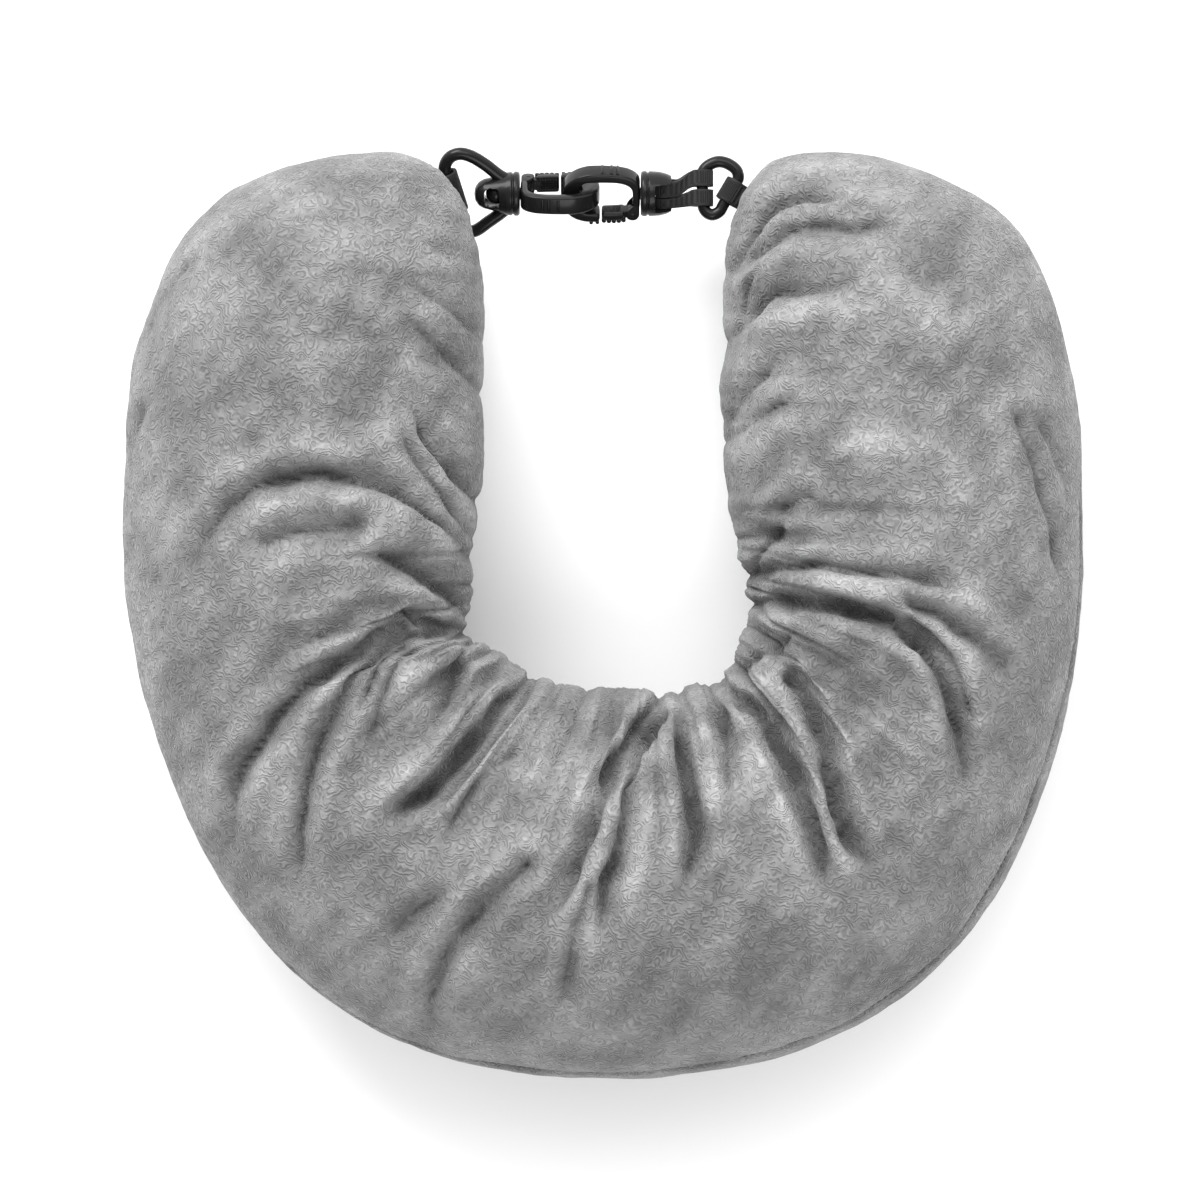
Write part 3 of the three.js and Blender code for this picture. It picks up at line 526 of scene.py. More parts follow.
def make_pillow():
    """The plush cover: stuffed, refined once, then creased, gathered and seamed."""
    mesh, sunk = pillow_mesh()
    pillow = add_object("pillow_cover", mesh)
    start = coordinates(mesh)
    resting = 1 - smooth_step(start[:, 2], *HELD_LEVELS)
    held = np.maximum(resting, FOLD_HOLD * smooth_step(sunk, *HELD_DEPTHS))
    stuff(pillow, np.clip(held, 0, 1))
    smooth = pillow.modifiers.new("smooth", "SUBSURF")
    smooth.levels = 1
    smooth.render_levels = 1
    fine = evaluated_mesh(pillow)
    pillow.modifiers.clear()
    pillow.data = fine
    fine.name = "pillow_cover"
    smooth_faces(fine)
    points = coordinates(fine)
    normals = np.zeros(len(points) * 3, np.float32)
    fine.vertices.foreach_get("normal", normals)
    normals = normals.reshape(-1, 3)
    row, across, side = (kept_value(fine, name) for name in ("row", "across", "side"))
    soft, sharp, raised = fold_relief(points[:, 0] / MM, points[:, 1] / MM)
    share = fold_share(points[:, 2] / MM, row, across, side)
    lumps = sum(height * uneven(points, size, seed) for height, size, seed in LUMPS)
    free = smooth_step(points[:, 2], *FREE_LEVELS)
    small = gathers(row, across, side)
    gap = seam_gap(row, np.arctan2(side, across))
    seam = SEAM_DEPTH * np.exp(-((gap / SEAM_WIDTH) ** 2))
    lift = (lumps + small - seam) * free - sharp * share
    points = points + normals * (lift * MM)[:, None]
    points[:, 2] = np.maximum(points[:, 2], 0)
    set_coordinates(fine, points)
    # Painted shade: the pile's colour is darkened in folds, creases, the seam groove and gather
    # valleys, where shade falls, and kept as the "fold" value
    dark = (SOFT_PAINTED_SHADE * soft + SHARP_PAINTED_SHADE * sharp) * share / FOLD_PAINTED_SHADE
    dark = dark + seam * free / SEAM_PAINTED_SHADE - np.minimum(small, 0) / GATHER_PAINTED_SHADE
    keep_value(fine, "fold", np.clip(dark, 0, 1))
    # Painted highlight: the pile's colour is lightened on the swellings beside folds and on gather
    # ridges, and kept as the "puff" value
    keep_value(fine, "puff", np.clip((raised * share + small) / PUFF_PAINTED_HIGHLIGHT, 0, 1))
    return pillow


# Stitches of the lengthwise seam in millimetres: length, half thickness, pitch and lift
STITCH = 2.2
THREAD = 0.3
STITCH_PITCH = 3.2
STITCH_LIFT = 0.1


def make_stitches(pillow):
    """Small stitches along the seam, each laid on the cover."""
    first, last = SEAM[0][0], SEAM[-1][0]
    row = np.linspace(first, last, 4000)
    course = tube_points(row, seam_angle(row)) * MM
    length = np.concatenate([[0], np.cumsum(np.linalg.norm(np.diff(course, axis=0), axis=1))])
    corners = [v.co for v in pillow.data.vertices]
    tree = BVHTree.FromPolygons(corners, [p.vertices[:] for p in pillow.data.polygons])
    bm = bmesh.new()
    for start in np.arange(0, length[-1] - STITCH * MM, STITCH_PITCH * MM):
        ends = [Vector([np.interp(place, length, course[:, k]) for k in range(3)])
                for place in (start, start + STITCH * MM)]
        a, normal = tree.find_nearest(ends[0])[:2]
        b = tree.find_nearest(ends[1])[0]
        middle = (a + b) / 2 + normal * STITCH_LIFT * MM
        place = Matrix.Translation(middle) @ (b - a).to_track_quat("Z", "Y").to_matrix().to_4x4()
        size = Matrix.Diagonal((THREAD * MM, THREAD * MM, STITCH / 2 * MM, 1))
        bmesh.ops.create_icosphere(bm, subdivisions=1, radius=1, matrix=place @ size)
    mesh = finished_mesh(bm, "seam_stitches")
    smooth_faces(mesh)
    return add_object("seam_stitches", mesh)


# The clip chain: tables and builders in millimetres, in each piece's own frame

BAR_RADIUS = 2.7
RING_RADIUS = 2.5
STRAP_PIN_AT = 9.6
STRAP_PIN_RADIUS = 1.7
STRAP_PIN_HALF = 6.5
PLY = 1.4
BORE_RADIUS = 3
SHAFT_RADIUS = 2.6

# Outlines of the hooks, with the collar face at x = 0, the fixed arm at -y and the gate at +y
HOOK_OUTLINE = [
    (0, -6.4), (1.6, -8.8), (5, -10.9), (9, -11.7), (12, -12), (16, -12.2), (22, -12.1), (27, -10.4),
    (30.8, -7.4), (33, -3.4), (33.6, 0), (33, 4), (31.2, 7.6), (28, 10.6), (23.6, 12.2), (20, 12.4),
    (17, 12.2), (16.8, 8), (22.4, 7.8), (24.6, 6.6), (25.4, 4.8), (25.4, -4.8), (24.6, -6.6),
    (22.4, -7.8), (10, -7.7), (5.6, -6.6), (3.2, -4.2), (3, 5.4), (0, 5.4),
]
GATE_OUTLINE = [
    (3.4, 7.2), (6.5, 7.5), (10, 8), (16.4, 8.2), (16, 11.2), (13, 11.7), (9.5, 11.5), (6.6, 10.9),
    (3.4, 10.6),
]
CHEEK_OUTLINE = [(0.2, 4), (0.2, 9.2), (1.6, 11), (3.6, 11.3), (5.4, 10.4), (5.9, 8.6),
                 (5, 6.4), (3, 4)]
PIVOT = (3.2, 8.6)
PIVOT_RADIUS = 1.1
PIVOT_HALF = 4.1
HOOK_THICK = 8
GATE_THICK = 7.4
KNUCKLE_THICK = 5.2
WEB_THICK = 4.8
LEVER_START = 6
KNUCKLE_RADIUS = 2.1
CHEEK_THICK = 1

# Ridges across the hooks, by their middles, with half length and radius
ARM_RIDGES = [(9.4, -11.9), (12, -12.1), (15.9, -12.2)]
NOSE_RIDGES = [(18, 12.5), (20.6, 12.6)]
GATE_RIDGES = [(15.2, 11.7), (13.1, 11.9), (11, 11.9), (8.9, 11.8), (6.9, 11.5)]
ARM_RIDGE = (3, 0.6)
NOSE_RIDGE = (3.7, 0.8)
GATE_RIDGE = (3.6, 1)

# Profiles of the swivel bases: distance behind the collar face, and radius
BELL = [
    (0, 0), (0, 8.7), (0.8, 9.4), (2.4, 9.4), (2.6, 8.7), (3.2, 8.7), (3.4, 9.3), (5.6, 9.0),
    (9, 7.9), (12.5, 6.9), (15.4, 6.2), (17.4, 5), (18.8, 3), (19.4, 0),
]
FORK = [
    (0, 0), (0, 8.9), (0.8, 9.6), (2.5, 9.6), (2.7, 9), (3.3, 9), (3.5, 9.6), (8, 9.3), (11, 8.5),
    (13, 7.5), (13, 0),
]
LOOP_PATH = [
    (-5, 6.2), (-9, 8.6), (-14.5, 13.2), (-20, 16.8), (-25, 18.2), (-29.4, 16.4), (-31.6, 11.8),
    (-30, 6), (-28.6, 1), (-27.2, -4), (-25.8, -9), (-24.8, -14), (-22.4, -17), (-18.6, -16.8),
    (-13.5, -13), (-9, -9.6), (-5, -6.2),
]
BELL_WINDOW = [(-15, -3), (-13, -4.6), (-9, -4.6), (-8.4, 0), (-9, 4.6), (-13, 4.6), (-15, 3)]
FORK_SLOT = [(-14, -6), (-6.1, -6), (-6.1, 6), (-14, 6)]
BALL_BACK = 10.4
BALL_RADIUS = 4.3

# The other hook's head is a disc: its radius, and where it starts and ends behind the face
DISC_RADIUS = 4.8
DISC = (2.1, 3.6)
SHAFT_START = 1.5

# Rooms inside the bases for the heads and their shafts: start, end and radius
BELL_ROOM = (4.4, 14.8, 4.9)
BELL_BORE = (-1, 5.4, BORE_RADIUS)
FORK_ROOM = (1.4, 4, 5.2)
FORK_BORE = (-1, 2.4, BORE_RADIUS)
CUT_DEPTH = 30
CUT_EDGE = 0.25

# The ring, and the middles of the sides that the strap and the tab hold
RING_PATH = [
    (42.2, 187.2), (41.8, 184.5), (41.8, 180), (41.8, 175.4), (42.1, 172.4), (43.4, 169.8),
    (46, 168.6), (49, 170), (50.7, 172.9), (52.2, 175.7), (53.8, 178.4), (55.4, 181.1),
    (56.9, 184), (56.2, 187.3), (52.8, 190), (48.6, 191), (44.6, 189.6),
]
RING_STRAP_SIDE = (41.8, 179.8)
RING_TAB_SIDE = (53.8, 178.4)
SLANT = (0.51, 0.86)


def chain_frame(x, roll, faces_left):
    """The frame of a base or hook whose collar face is at x."""
    place = Matrix.Translation((x, CLIP_Y, CLIP_Z)) @ Matrix.Rotation(roll, 4, "X")
    if faces_left:
        place = place @ Matrix.Rotation(math.pi, 4, "Z")
    return place


def frame_at(origin, along, across):
    """A frame whose x runs along and whose z runs across."""
    x = Vector(along).normalized()
    z = Vector(across).normalized()
    y = z.cross(x)
    return Matrix.Translation(origin) @ Matrix((x, y, z)).transposed().to_4x4()


LEFT_LOOP_FRAME = chain_frame(LEFT_FACE, LOOP_ROLL, False)
LEFT_HOOK_FRAME = chain_frame(LEFT_FACE + FIT, LEFT_ROLL, False)
RIGHT_HOOK_FRAME = chain_frame(RIGHT_FACE - FIT, RIGHT_ROLL, True)
RIGHT_FORK_FRAME = chain_frame(RIGHT_FACE, STRAP_ROLL, True)
WORLD_FRAME = Matrix.Identity(4)

# Edges sharper than these angles stay sharp on plastic and on webbing, or are rounded
SHARP_ANGLE = math.radians(35)
PLY_ANGLE = math.radians(60)
CUT_ANGLE = math.radians(40)
SELVEDGE_ANGLE = math.radians(50)
SELVEDGE = 0.35


def rounded(points, radius, closed=True, steps=4):
    """An outline whose corners are rounded by up to the radius."""
    count = len(points)
    smooth = []
    for i, point in enumerate(points):
        if not closed and i in (0, count - 1):
            smooth.append(Vector(point))
            continue
        here, before, after = Vector(point), Vector(points[i - 1]), Vector(points[(i + 1) % count])
        start = here + (before - here) * min(0.5, radius / (before - here).length)
        end = here + (after - here) * min(0.5, radius / (after - here).length)
        for k in range(steps + 1):
            t = k / steps
            smooth.append((1 - t) ** 2 * start + 2 * t * (1 - t) * here + t * t * end)
    kept = [p for p, ahead in zip(smooth, smooth[1:]) if (p - ahead).length > 0.02]
    return kept + smooth[-1:]


def plate(bm, outline, thick, level=0.0, edge=0.0, steps=4):
    """A plate of an outline in x and y whose rims are rounded by the edge."""
    points = np.array([tuple(point) for point in outline])
    ahead = np.roll(points, -1, axis=0) - np.roll(points, 1, axis=0)
    inward = np.column_stack([-ahead[:, 1], ahead[:, 0]]) / np.linalg.norm(ahead, axis=1)[:, None]
    if (points[:, 0] * ahead[:, 1] - points[:, 1] * ahead[:, 0]).sum() < 0:
        inward = -inward
    turn = np.linspace(0, math.pi / 2, steps + 1) if edge else np.array([math.pi / 2])
    inset = edge * (1 - np.sin(turn))
    height = thick / 2 - edge * (1 - np.cos(turn)) if edge else np.array([thick / 2])
    inset = np.concatenate([inset, inset[::-1]])
    height = np.concatenate([-height, height[::-1]]) + level
    count, rows = len(points), len(height) - 1
    made = bmesh.ops.create_grid(bm, x_segments=count, y_segments=rows, size=1)["verts"]
    for vert in made:
        i = round((vert.co.x + 1) / 2 * count) % count
        j = round((vert.co.y + 1) / 2 * rows)
        x, y = points[i] + inward[i] * inset[j]
        vert.co = (x, y, height[j])
    bmesh.ops.remove_doubles(bm, verts=made, dist=MERGE)
    rims = [e for e in bm.edges if e.is_boundary]
    caps = bmesh.ops.holes_fill(bm, edges=rims, sides=0)["faces"]
    bmesh.ops.triangulate(bm, faces=caps, ngon_method="EAR_CLIP")


def rod(bm, start, end, radius, segments=24):
    """A round rod between two points, with its ends rounded a little."""
    start, end = Vector(start), Vector(end)
    turn = (end - start).to_track_quat("Z", "Y").to_matrix().to_4x4()
    place = Matrix.Translation((start + end) / 2) @ turn
    made = bmesh.ops.create_cone(bm, cap_ends=True, segments=segments, radius1=radius, radius2=radius,
                                 depth=(end - start).length, matrix=place)["verts"]
    edges = dict.fromkeys(e for vert in made for e in vert.link_edges)
    rims = [e for e in edges if len([f for f in e.link_faces if len(f.verts) > 4]) == 1]
    bmesh.ops.bevel(bm, geom=rims, offset=0.2 * radius, segments=2, profile=0.5,
                    affect="EDGES", material=-1)


def turned(bm, rows, segments=64):
    """A body of revolution about x from distances behind the face and radii."""
    verts = [bm.verts.new((-row[0], row[1], 0)) for row in rows]
    edges = [bm.edges.new(pair) for pair in zip(verts, verts[1:])]
    bmesh.ops.spin(bm, geom=verts + edges, cent=(0, 0, 0), axis=(1, 0, 0), angle=2 * math.pi,
                   steps=segments, use_merge=True)
    bmesh.ops.remove_doubles(bm, verts=bm.verts, dist=MERGE)


def bar(bm, path, radius, closed, around=24, steps=120):
    """A round bar along a path in x and y: a sphere laid along it, or a closed ring."""
    points = np.array(path, float)
    if closed:
        table = np.vstack([points[-2:], points, points[:3]])
        bmesh.ops.create_grid(bm, x_segments=steps, y_segments=around, size=1)
        share = np.array([(v.co.x + 1) / 2 for v in bm.verts])
        turn = np.array([(v.co.y + 1) * math.pi for v in bm.verts])
        place = 2 + (share % 1) * len(points)
        thick = np.full(len(place), radius)
    else:
        table = points
        bmesh.ops.create_uvsphere(bm, u_segments=around, v_segments=steps, radius=1)
        share = np.arccos(np.clip([v.co.z for v in bm.verts], -1, 1)) / math.pi
        turn = np.array([math.atan2(v.co.y, v.co.x) for v in bm.verts])
        place = share * (len(points) - 1)
        thick = np.where((share < 1e-6) | (share > 1 - 1e-6), 0, radius)
    here = curve_at(table, place)
    ahead = curve_at(table, place + 0.02) - curve_at(table, place - 0.02)
    ahead = ahead / np.linalg.norm(ahead, axis=1)[:, None]
    outside = np.column_stack([ahead[:, 1], -ahead[:, 0]])
    flat = here + outside * (thick * np.cos(turn))[:, None]
    for vert, (x, y), z in zip(bm.verts, flat, thick * np.sin(turn)):
        vert.co = (x, y, z)
    bmesh.ops.remove_doubles(bm, verts=bm.verts, dist=MERGE)


def moulded(name, place, build, *parts):
    """A hard piece made by a builder in its own frame, then set in its place."""
    bm = bmesh.new()
    build(bm, *parts)
    bmesh.ops.recalc_face_normals(bm, faces=bm.faces)
    bm.transform(Matrix.Scale(MM, 4) @ place)
    mesh = finished_mesh(bm, name)
    piece = add_object(name, mesh)
    soften(mesh, SHARP_ANGLE)
    return piece


def smooth_faces(mesh):
    for polygon in mesh.polygons:
        polygon.use_smooth = True


def soften(mesh, sharp):
    """Smooth shading, but for edges sharper than the angle."""
    smooth_faces(mesh)
    mesh.set_sharp_from_angle(angle=sharp)


def settle(piece, edge, corner, sharp):
    """Rounds a piece's corners, makes its modifiers final and shades it."""
    if edge:
        bevel = piece.modifiers.new("edges", "BEVEL")
        bevel.width = edge * MM
        bevel.segments = 2
        bevel.limit_method = "ANGLE"
        bevel.angle_limit = corner
    mesh = evaluated_mesh(piece)
    mesh.validate()
    piece.modifiers.clear()
    piece.data = mesh
    mesh.name = piece.name
    soften(mesh, sharp)


def combined(piece, operation, others, edge=0.0):
    """Cuts other pieces out of a piece, or joins them to it, and rounds the edges left."""
    for other in others:
        boolean = piece.modifiers.new("boolean", "BOOLEAN")
        boolean.operation = operation
        boolean.solver = "EXACT"
        boolean.object = other
    settle(piece, edge, CUT_ANGLE, SHARP_ANGLE)
    for other in others:
        bpy.data.objects.remove(other)


def ridges(bm, places, half, radius):
    """Small round ridges across a hook or its gate."""
    for x, y in places:
        rod(bm, (x, y, -half), (x, y, half), radius, 16)


def hook_body(bm, head):
    """A hook with its bow, the cheeks beside its gate, ridges, pivot pin, shaft and head."""
    plate(bm, rounded(HOOK_OUTLINE, 2), HOOK_THICK, edge=1)
    for level in (CHEEK_THICK / 2 - HOOK_THICK / 2, HOOK_THICK / 2 - CHEEK_THICK / 2):
        plate(bm, rounded(CHEEK_OUTLINE, 1), CHEEK_THICK, level, edge=0.25)
    ridges(bm, ARM_RIDGES, *ARM_RIDGE)
    ridges(bm, NOSE_RIDGES, *NOSE_RIDGE)
    rod(bm, (*PIVOT, -PIVOT_HALF), (*PIVOT, PIVOT_HALF), PIVOT_RADIUS)
    if head == "ball":
        rod(bm, (SHAFT_START, 0, 0), (-BALL_BACK, 0, 0), SHAFT_RADIUS)
        bmesh.ops.create_uvsphere(bm, u_segments=32, v_segments=20, radius=BALL_RADIUS,
                                  matrix=Matrix.Translation((-BALL_BACK, 0, 0)))
    else:
        start, end = DISC
        rod(bm, (SHAFT_START, 0, 0), (-end, 0, 0), SHAFT_RADIUS)
        rod(bm, (-start, 0, 0), (-end, 0, 0), DISC_RADIUS, 40)


def gate_body(bm):
    """A gate: a thin web at its pivot, a lever as thick as the eye allows, and its ridges."""
    plate(bm, rounded(GATE_OUTLINE, 1.6), WEB_THICK, edge=0.3)
    lever = [point for point in GATE_OUTLINE if point[0] > LEVER_START]
    plate(bm, rounded(lever, 1.6), GATE_THICK, edge=0.8)
    rod(bm, (*PIVOT, -KNUCKLE_THICK / 2), (*PIVOT, KNUCKLE_THICK / 2), KNUCKLE_RADIUS)
    ridges(bm, GATE_RIDGES, *GATE_RIDGE)


def drum(bm, start, end, radius):
    """A round room behind a base's face."""
    rod(bm, (-start, 0, 0), (-end, 0, 0), radius, 48)


def hollow_out(base, place, opening, room, bore):
    """Cuts an opening through a base, and room in it for the hook's head and shaft."""
    cuts = [
        moulded("opening", place, plate, opening, CUT_DEPTH),
        moulded("room", place, drum, *room),
        moulded("bore", place, drum, *bore),
    ]
    combined(base, "DIFFERENCE", cuts, edge=CUT_EDGE)


def make_left_base():
    """The bell with its loop, and the window through which the hook's ball shows."""
    bell = moulded("left_swivel_base", LEFT_LOOP_FRAME, turned, rounded(BELL, 0.5, closed=False))
    loop = moulded("loop", LEFT_LOOP_FRAME, bar, LOOP_PATH, BAR_RADIUS, False)
    combined(bell, "UNION", [loop])
    hollow_out(bell, LEFT_LOOP_FRAME, rounded(BELL_WINDOW, 1), BELL_ROOM, BELL_BORE)
    return bell


def make_right_base():
    """The shorter base, whose slot holds the strap on a pin."""
    fork = moulded("right_swivel_base", RIGHT_FORK_FRAME, turned, rounded(FORK, 0.5, closed=False))
    hollow_out(fork, RIGHT_FORK_FRAME, rounded(FORK_SLOT, 0.8), FORK_ROOM, FORK_BORE)
    ends = [(-STRAP_PIN_AT, side, 0) for side in (-STRAP_PIN_HALF, STRAP_PIN_HALF)]
    pin = moulded("pin", RIGHT_FORK_FRAME, rod, *ends, STRAP_PIN_RADIUS)
    combined(fork, "UNION", [pin])
    return fork


def ring_bar(bm):
    """The closed ring, level at the chain's height."""
    bar(bm, RING_PATH, RING_RADIUS, True)
    bmesh.ops.translate(bm, verts=bm.verts, vec=(0, 0, CLIP_Z))


# Turns round the bars at which the plies leave them: a tab's, the strap's at its pin and
# at the ring
OPEN_TURN = 0.95
PIN_TURN = 0.55 * math.pi
RING_TURN = 0.62 * math.pi


def loop_path(hole, tail):
    """Middle of the webbing round a bar, from the end of one ply to the end of the other."""
    reach = hole + PLY / 2
    half = PLY / 2 + 0.05
    turns = np.linspace(OPEN_TURN, 2 * math.pi - OPEN_TURN, 16)
    round_bar = [(reach * math.cos(t), reach * math.sin(t)) for t in turns]
    start = [(tail, half), (tail - 5, half), (reach + 5, half), (reach + 2, half + 0.5)]
    end = [(x, -y) for x, y in reversed(start)]
    return np.array(start + round_bar + end)


def strap_path(near, far, span):
    """Middle of the strap's two plies, once round the pin and the ring's side."""
    near, far = near + PLY / 2, far + PLY / 2
    turns = np.linspace(PIN_TURN, 2 * math.pi - PIN_TURN, 9)
    round_pin = [(near * math.cos(t), near * math.sin(t)) for t in turns]
    turns = np.linspace(-RING_TURN, RING_TURN, 13)
    round_ring = [(span + far * math.cos(t), far * math.sin(t)) for t in turns]
    below = [(near + 1, -1.6), (0.45 * span, -0.85), (span - far - 1.5, -1.5)]
    above = [(x, -y) for x, y in reversed(below)]
    return np.array(round_pin + below + round_ring + above)


def band(bm, path, closed, low, high, along=140, across=10):
    """One ply's middle surface: the path in x and y, from low to high in z."""
    if closed:
        table = np.vstack([path[-2:], path, path[:3]])
        first, last = 2, 2 + len(path)
    else:
        table = path
        first, last = 0, len(path) - 1
    run = bm.verts.layers.float.get("run") or bm.verts.layers.float.new("run")
    rim = bm.verts.layers.float.get("rim") or bm.verts.layers.float.new("rim")
    made = bmesh.ops.create_grid(bm, x_segments=along, y_segments=across, size=1)["verts"]
    share = np.array([(v.co.x + 1) / 2 for v in made])
    here = curve_at(table, first + share * (last - first))
    length = path_length(path, closed)
    for vert, (x, y), t in zip(made, here, share):
        vert[run] = t * length
        vert[rim] = abs(vert.co.y)
        vert.co = (x, y, low + (high - low) * (vert.co.y + 1) / 2)
    if closed:
        bmesh.ops.remove_doubles(bm, verts=made, dist=MERGE)


def path_length(path, closed):
    """A path's length in its own unit."""
    places = np.linspace(0, len(path) - 1, 400)
    points = curve_at(path, places)
    length = np.linalg.norm(np.diff(points, axis=0), axis=1).sum()
    if closed:
        length += np.linalg.norm(path[-1] - path[0])
    return length


def thicken(piece, ply):
    """Gives a band its thickness and rounded edges."""
    solid = piece.modifiers.new("ply", "SOLIDIFY")
    solid.thickness = ply * MM
    solid.offset = 0
    settle(piece, SELVEDGE, SELVEDGE_ANGLE, PLY_ANGLE)


def make_tab(name, place, hole, tail, width):
    """A webbing tab folded round a bar, with both its ends under the plush."""
    path = loop_path(hole, tail)
    tab = moulded(name, place, band, path, False, -width / 2, width / 2)
    thicken(tab, PLY)
    length = path_length(path, False)
    return tab


# The strap's two bands: lower and upper edge at the base and at the ring. They spread and
# turn level from STRAP_FREE on, and STRAP_SPAN is from the pin to the ring
STRAP_BANDS = [((-5.8, -1.4), (-7.6, -0.7)), ((-0.8, 5.8), (0.7, 7.6))]
STRAP_FREE = 5
STRAP_LEVEL = 3
STRAP_SPAN = RING_STRAP_SIDE[0] - RIGHT_FACE - STRAP_PIN_AT
RING_FIT = 0.7


def strap_bands(bm):
    """Both bands, each once round the pin and the ring."""
    path = strap_path(STRAP_PIN_RADIUS + FIT, RING_RADIUS + RING_FIT, STRAP_SPAN)
    for base, ring in STRAP_BANDS:
        others = set(bm.verts)
        band(bm, path, True, 0, 1)
        for vert in set(bm.verts) - others:
            x, up, share = vert.co
            along = smooth_step(x, STRAP_FREE, STRAP_SPAN - STRAP_LEVEL)
            turn = STRAP_ROLL * (1 - along)
            low, high = (start + (end - start) * along for start, end in zip(base, ring))
            over = low + (high - low) * share
            y = RING_STRAP_SIDE[1] * along + CLIP_Y * (1 - along)
            y = y + over * math.cos(turn) - up * math.sin(turn)
            z = CLIP_Z + over * math.sin(turn) + up * math.cos(turn)
            vert.co = (RIGHT_FACE + STRAP_PIN_AT + x, y, z)


def make_strap():
    strap = moulded("ring_strap", WORLD_FRAME, strap_bands)
    thicken(strap, PLY)
    path = strap_path(STRAP_PIN_RADIUS + FIT, RING_RADIUS + RING_FIT, STRAP_SPAN)
    length = path_length(path, True)
    return strap


# The tabs: frames at the bars that they hold, then hole, tail and width
LEFT_TAB_FRAME = LEFT_LOOP_FRAME @ frame_at((-28.6, 1, 0), (-0.963, -0.27, 0), (0.27, -0.963, 0))
RIGHT_TAB_FRAME = frame_at((*RING_TAB_SIDE, CLIP_Z), (SLANT[1], -SLANT[0], 0),
                           (-SLANT[0], -SLANT[1], 0))
LEFT_TAB = (3.2, 17, 18)
RIGHT_TAB = (3.1, 18, 10)

# The inner sides of a hook that carry the fine grid: past x, between two values of y, and
# how squarely they face inwards
GRIP_START = 5
GRIP_SIDES = (6, 9)
GRIP_FACING = 0.6


def mark_grip(piece, place):
    """Marks the inner side of the hook's upper arm and of its gate, which carry a fine grid."""
    local = (Matrix.Scale(MM, 4) @ place).inverted()
    marks = []
    for vert in piece.data.vertices:
        x, y, z = local @ vert.co
        inner = (local.to_3x3() @ vert.normal).normalized().y < -GRIP_FACING
        marks.append(1 if inner and GRIP_SIDES[0] < y < GRIP_SIDES[1] and x > GRIP_START else 0)
    keep_value(piece.data, "grip", marks)


def fit(piece, body, node, material):
    """Gives a piece its finish and its body, and hides the part node that it stands for."""
    piece.data.materials.clear()
    piece.data.materials.append(material)
    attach(piece, body)
    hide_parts(node)


def fit_plastic(piece, body, node):
    fit(piece, body, node, PLASTIC)


def fit_webbing(piece, node):
    fit(piece, "root", node, WEBBING)


def make_chain():
    """Every piece between the pillow's arm ends."""
    fit_plastic(make_left_base(), "root", "left_base")
    fit_plastic(make_right_base(), "root", "right_base")
    left_hook = moulded("left_swivel_hook", LEFT_HOOK_FRAME, hook_body, "ball")
    mark_grip(left_hook, LEFT_HOOK_FRAME)
    fit_plastic(left_hook, "left_hook", "left_hook")
    right_hook = moulded("right_swivel_hook", RIGHT_HOOK_FRAME, hook_body, "disc")
    fit_plastic(right_hook, "right_hook", "right_hook")
    left_gate = moulded("left_spring_gate", LEFT_HOOK_FRAME, gate_body)
    mark_grip(left_gate, LEFT_HOOK_FRAME)
    fit_plastic(left_gate, "left_gate", "left_gate")
    right_gate = moulded("right_spring_gate", RIGHT_HOOK_FRAME, gate_body)
    fit_plastic(right_gate, "right_gate", "right_gate")
    fit_plastic(moulded("oblong_ring", WORLD_FRAME, ring_bar), "root", "right_ring")
    fit_webbing(make_tab("left_sewn_tab", LEFT_TAB_FRAME, *LEFT_TAB), "left_tab")
    fit_webbing(make_tab("right_sewn_tab", RIGHT_TAB_FRAME, *RIGHT_TAB), "right_tab")
    fit_webbing(make_strap(), "right_strap")


# Materials

# Pitches of the fine grid on a hook and of the webbing's ribs
GRIP_PITCH = 1.1 * MM
RIB_PITCH = 1.15


def node_maker(material):
    """A function that adds a node, with its inputs set or linked."""
    tree = material.node_tree

    def add(kind, inputs=None, **settings):
        made = tree.nodes.new(kind)
        for name, value in settings.items():
            setattr(made, name, value)
        for name, value in (inputs or {}).items():
            if isinstance(value, bpy.types.NodeSocket):
                tree.links.new(value, made.inputs[name])
            else:
                made.inputs[name].default_value = value
        return made

    return add


def new_material(name):
    material = bpy.data.materials.new(name)
    material.use_nodes = True
    shader = material.node_tree.nodes["Principled BSDF"]
    return material, shader, node_maker(material)


def noise_maker(add):
    """A function that adds a noise on the piece's own coordinates."""
    where = add("ShaderNodeTexCoord").outputs["Object"]

    def grain(scale, detail, **inputs):
        vector = inputs.pop("vector", where)
        settings = {"Vector": vector, "Scale": scale, "Detail": detail, **inputs}
        return add("ShaderNodeTexNoise", settings).outputs["Fac"]

    return where, grain


def maths(add, operation, first, second=None, third=None):
    """The result of one sum on up to three values."""
    values = {i: value for i, value in enumerate((first, second, third)) if value is not None}
    return add("ShaderNodeMath", values, operation=operation).outputs[0]


def remap(add, value, low, high, start=0.0, end=1.0):
    """A value taken from one range to another."""
    inputs = {"Value": value, "From Min": start, "From Max": end, "To Min": low, "To Max": high}
    return add("ShaderNodeMapRange", inputs).outputs["Result"]


def way_along(add, where, direction):
    """How far a place lies along a direction."""
    made = add("ShaderNodeVectorMath", {0: where, 1: direction}, operation="DOT_PRODUCT")
    return made.outputs["Value"]


def stored(add, name):
    """A number kept on the piece's points."""
    return add("ShaderNodeAttribute", attribute_name=name).outputs["Fac"]


def grey(add, value):
    """A grey of the given value."""
    channels = {"Red": value, "Green": value, "Blue": value}
    return add("ShaderNodeCombineColor", channels).outputs["Color"]


def bump(add, height, strength, distance):
    inputs = {"Height": height, "Strength": strength, "Distance": distance}
    return add("ShaderNodeBump", inputs).outputs["Normal"]


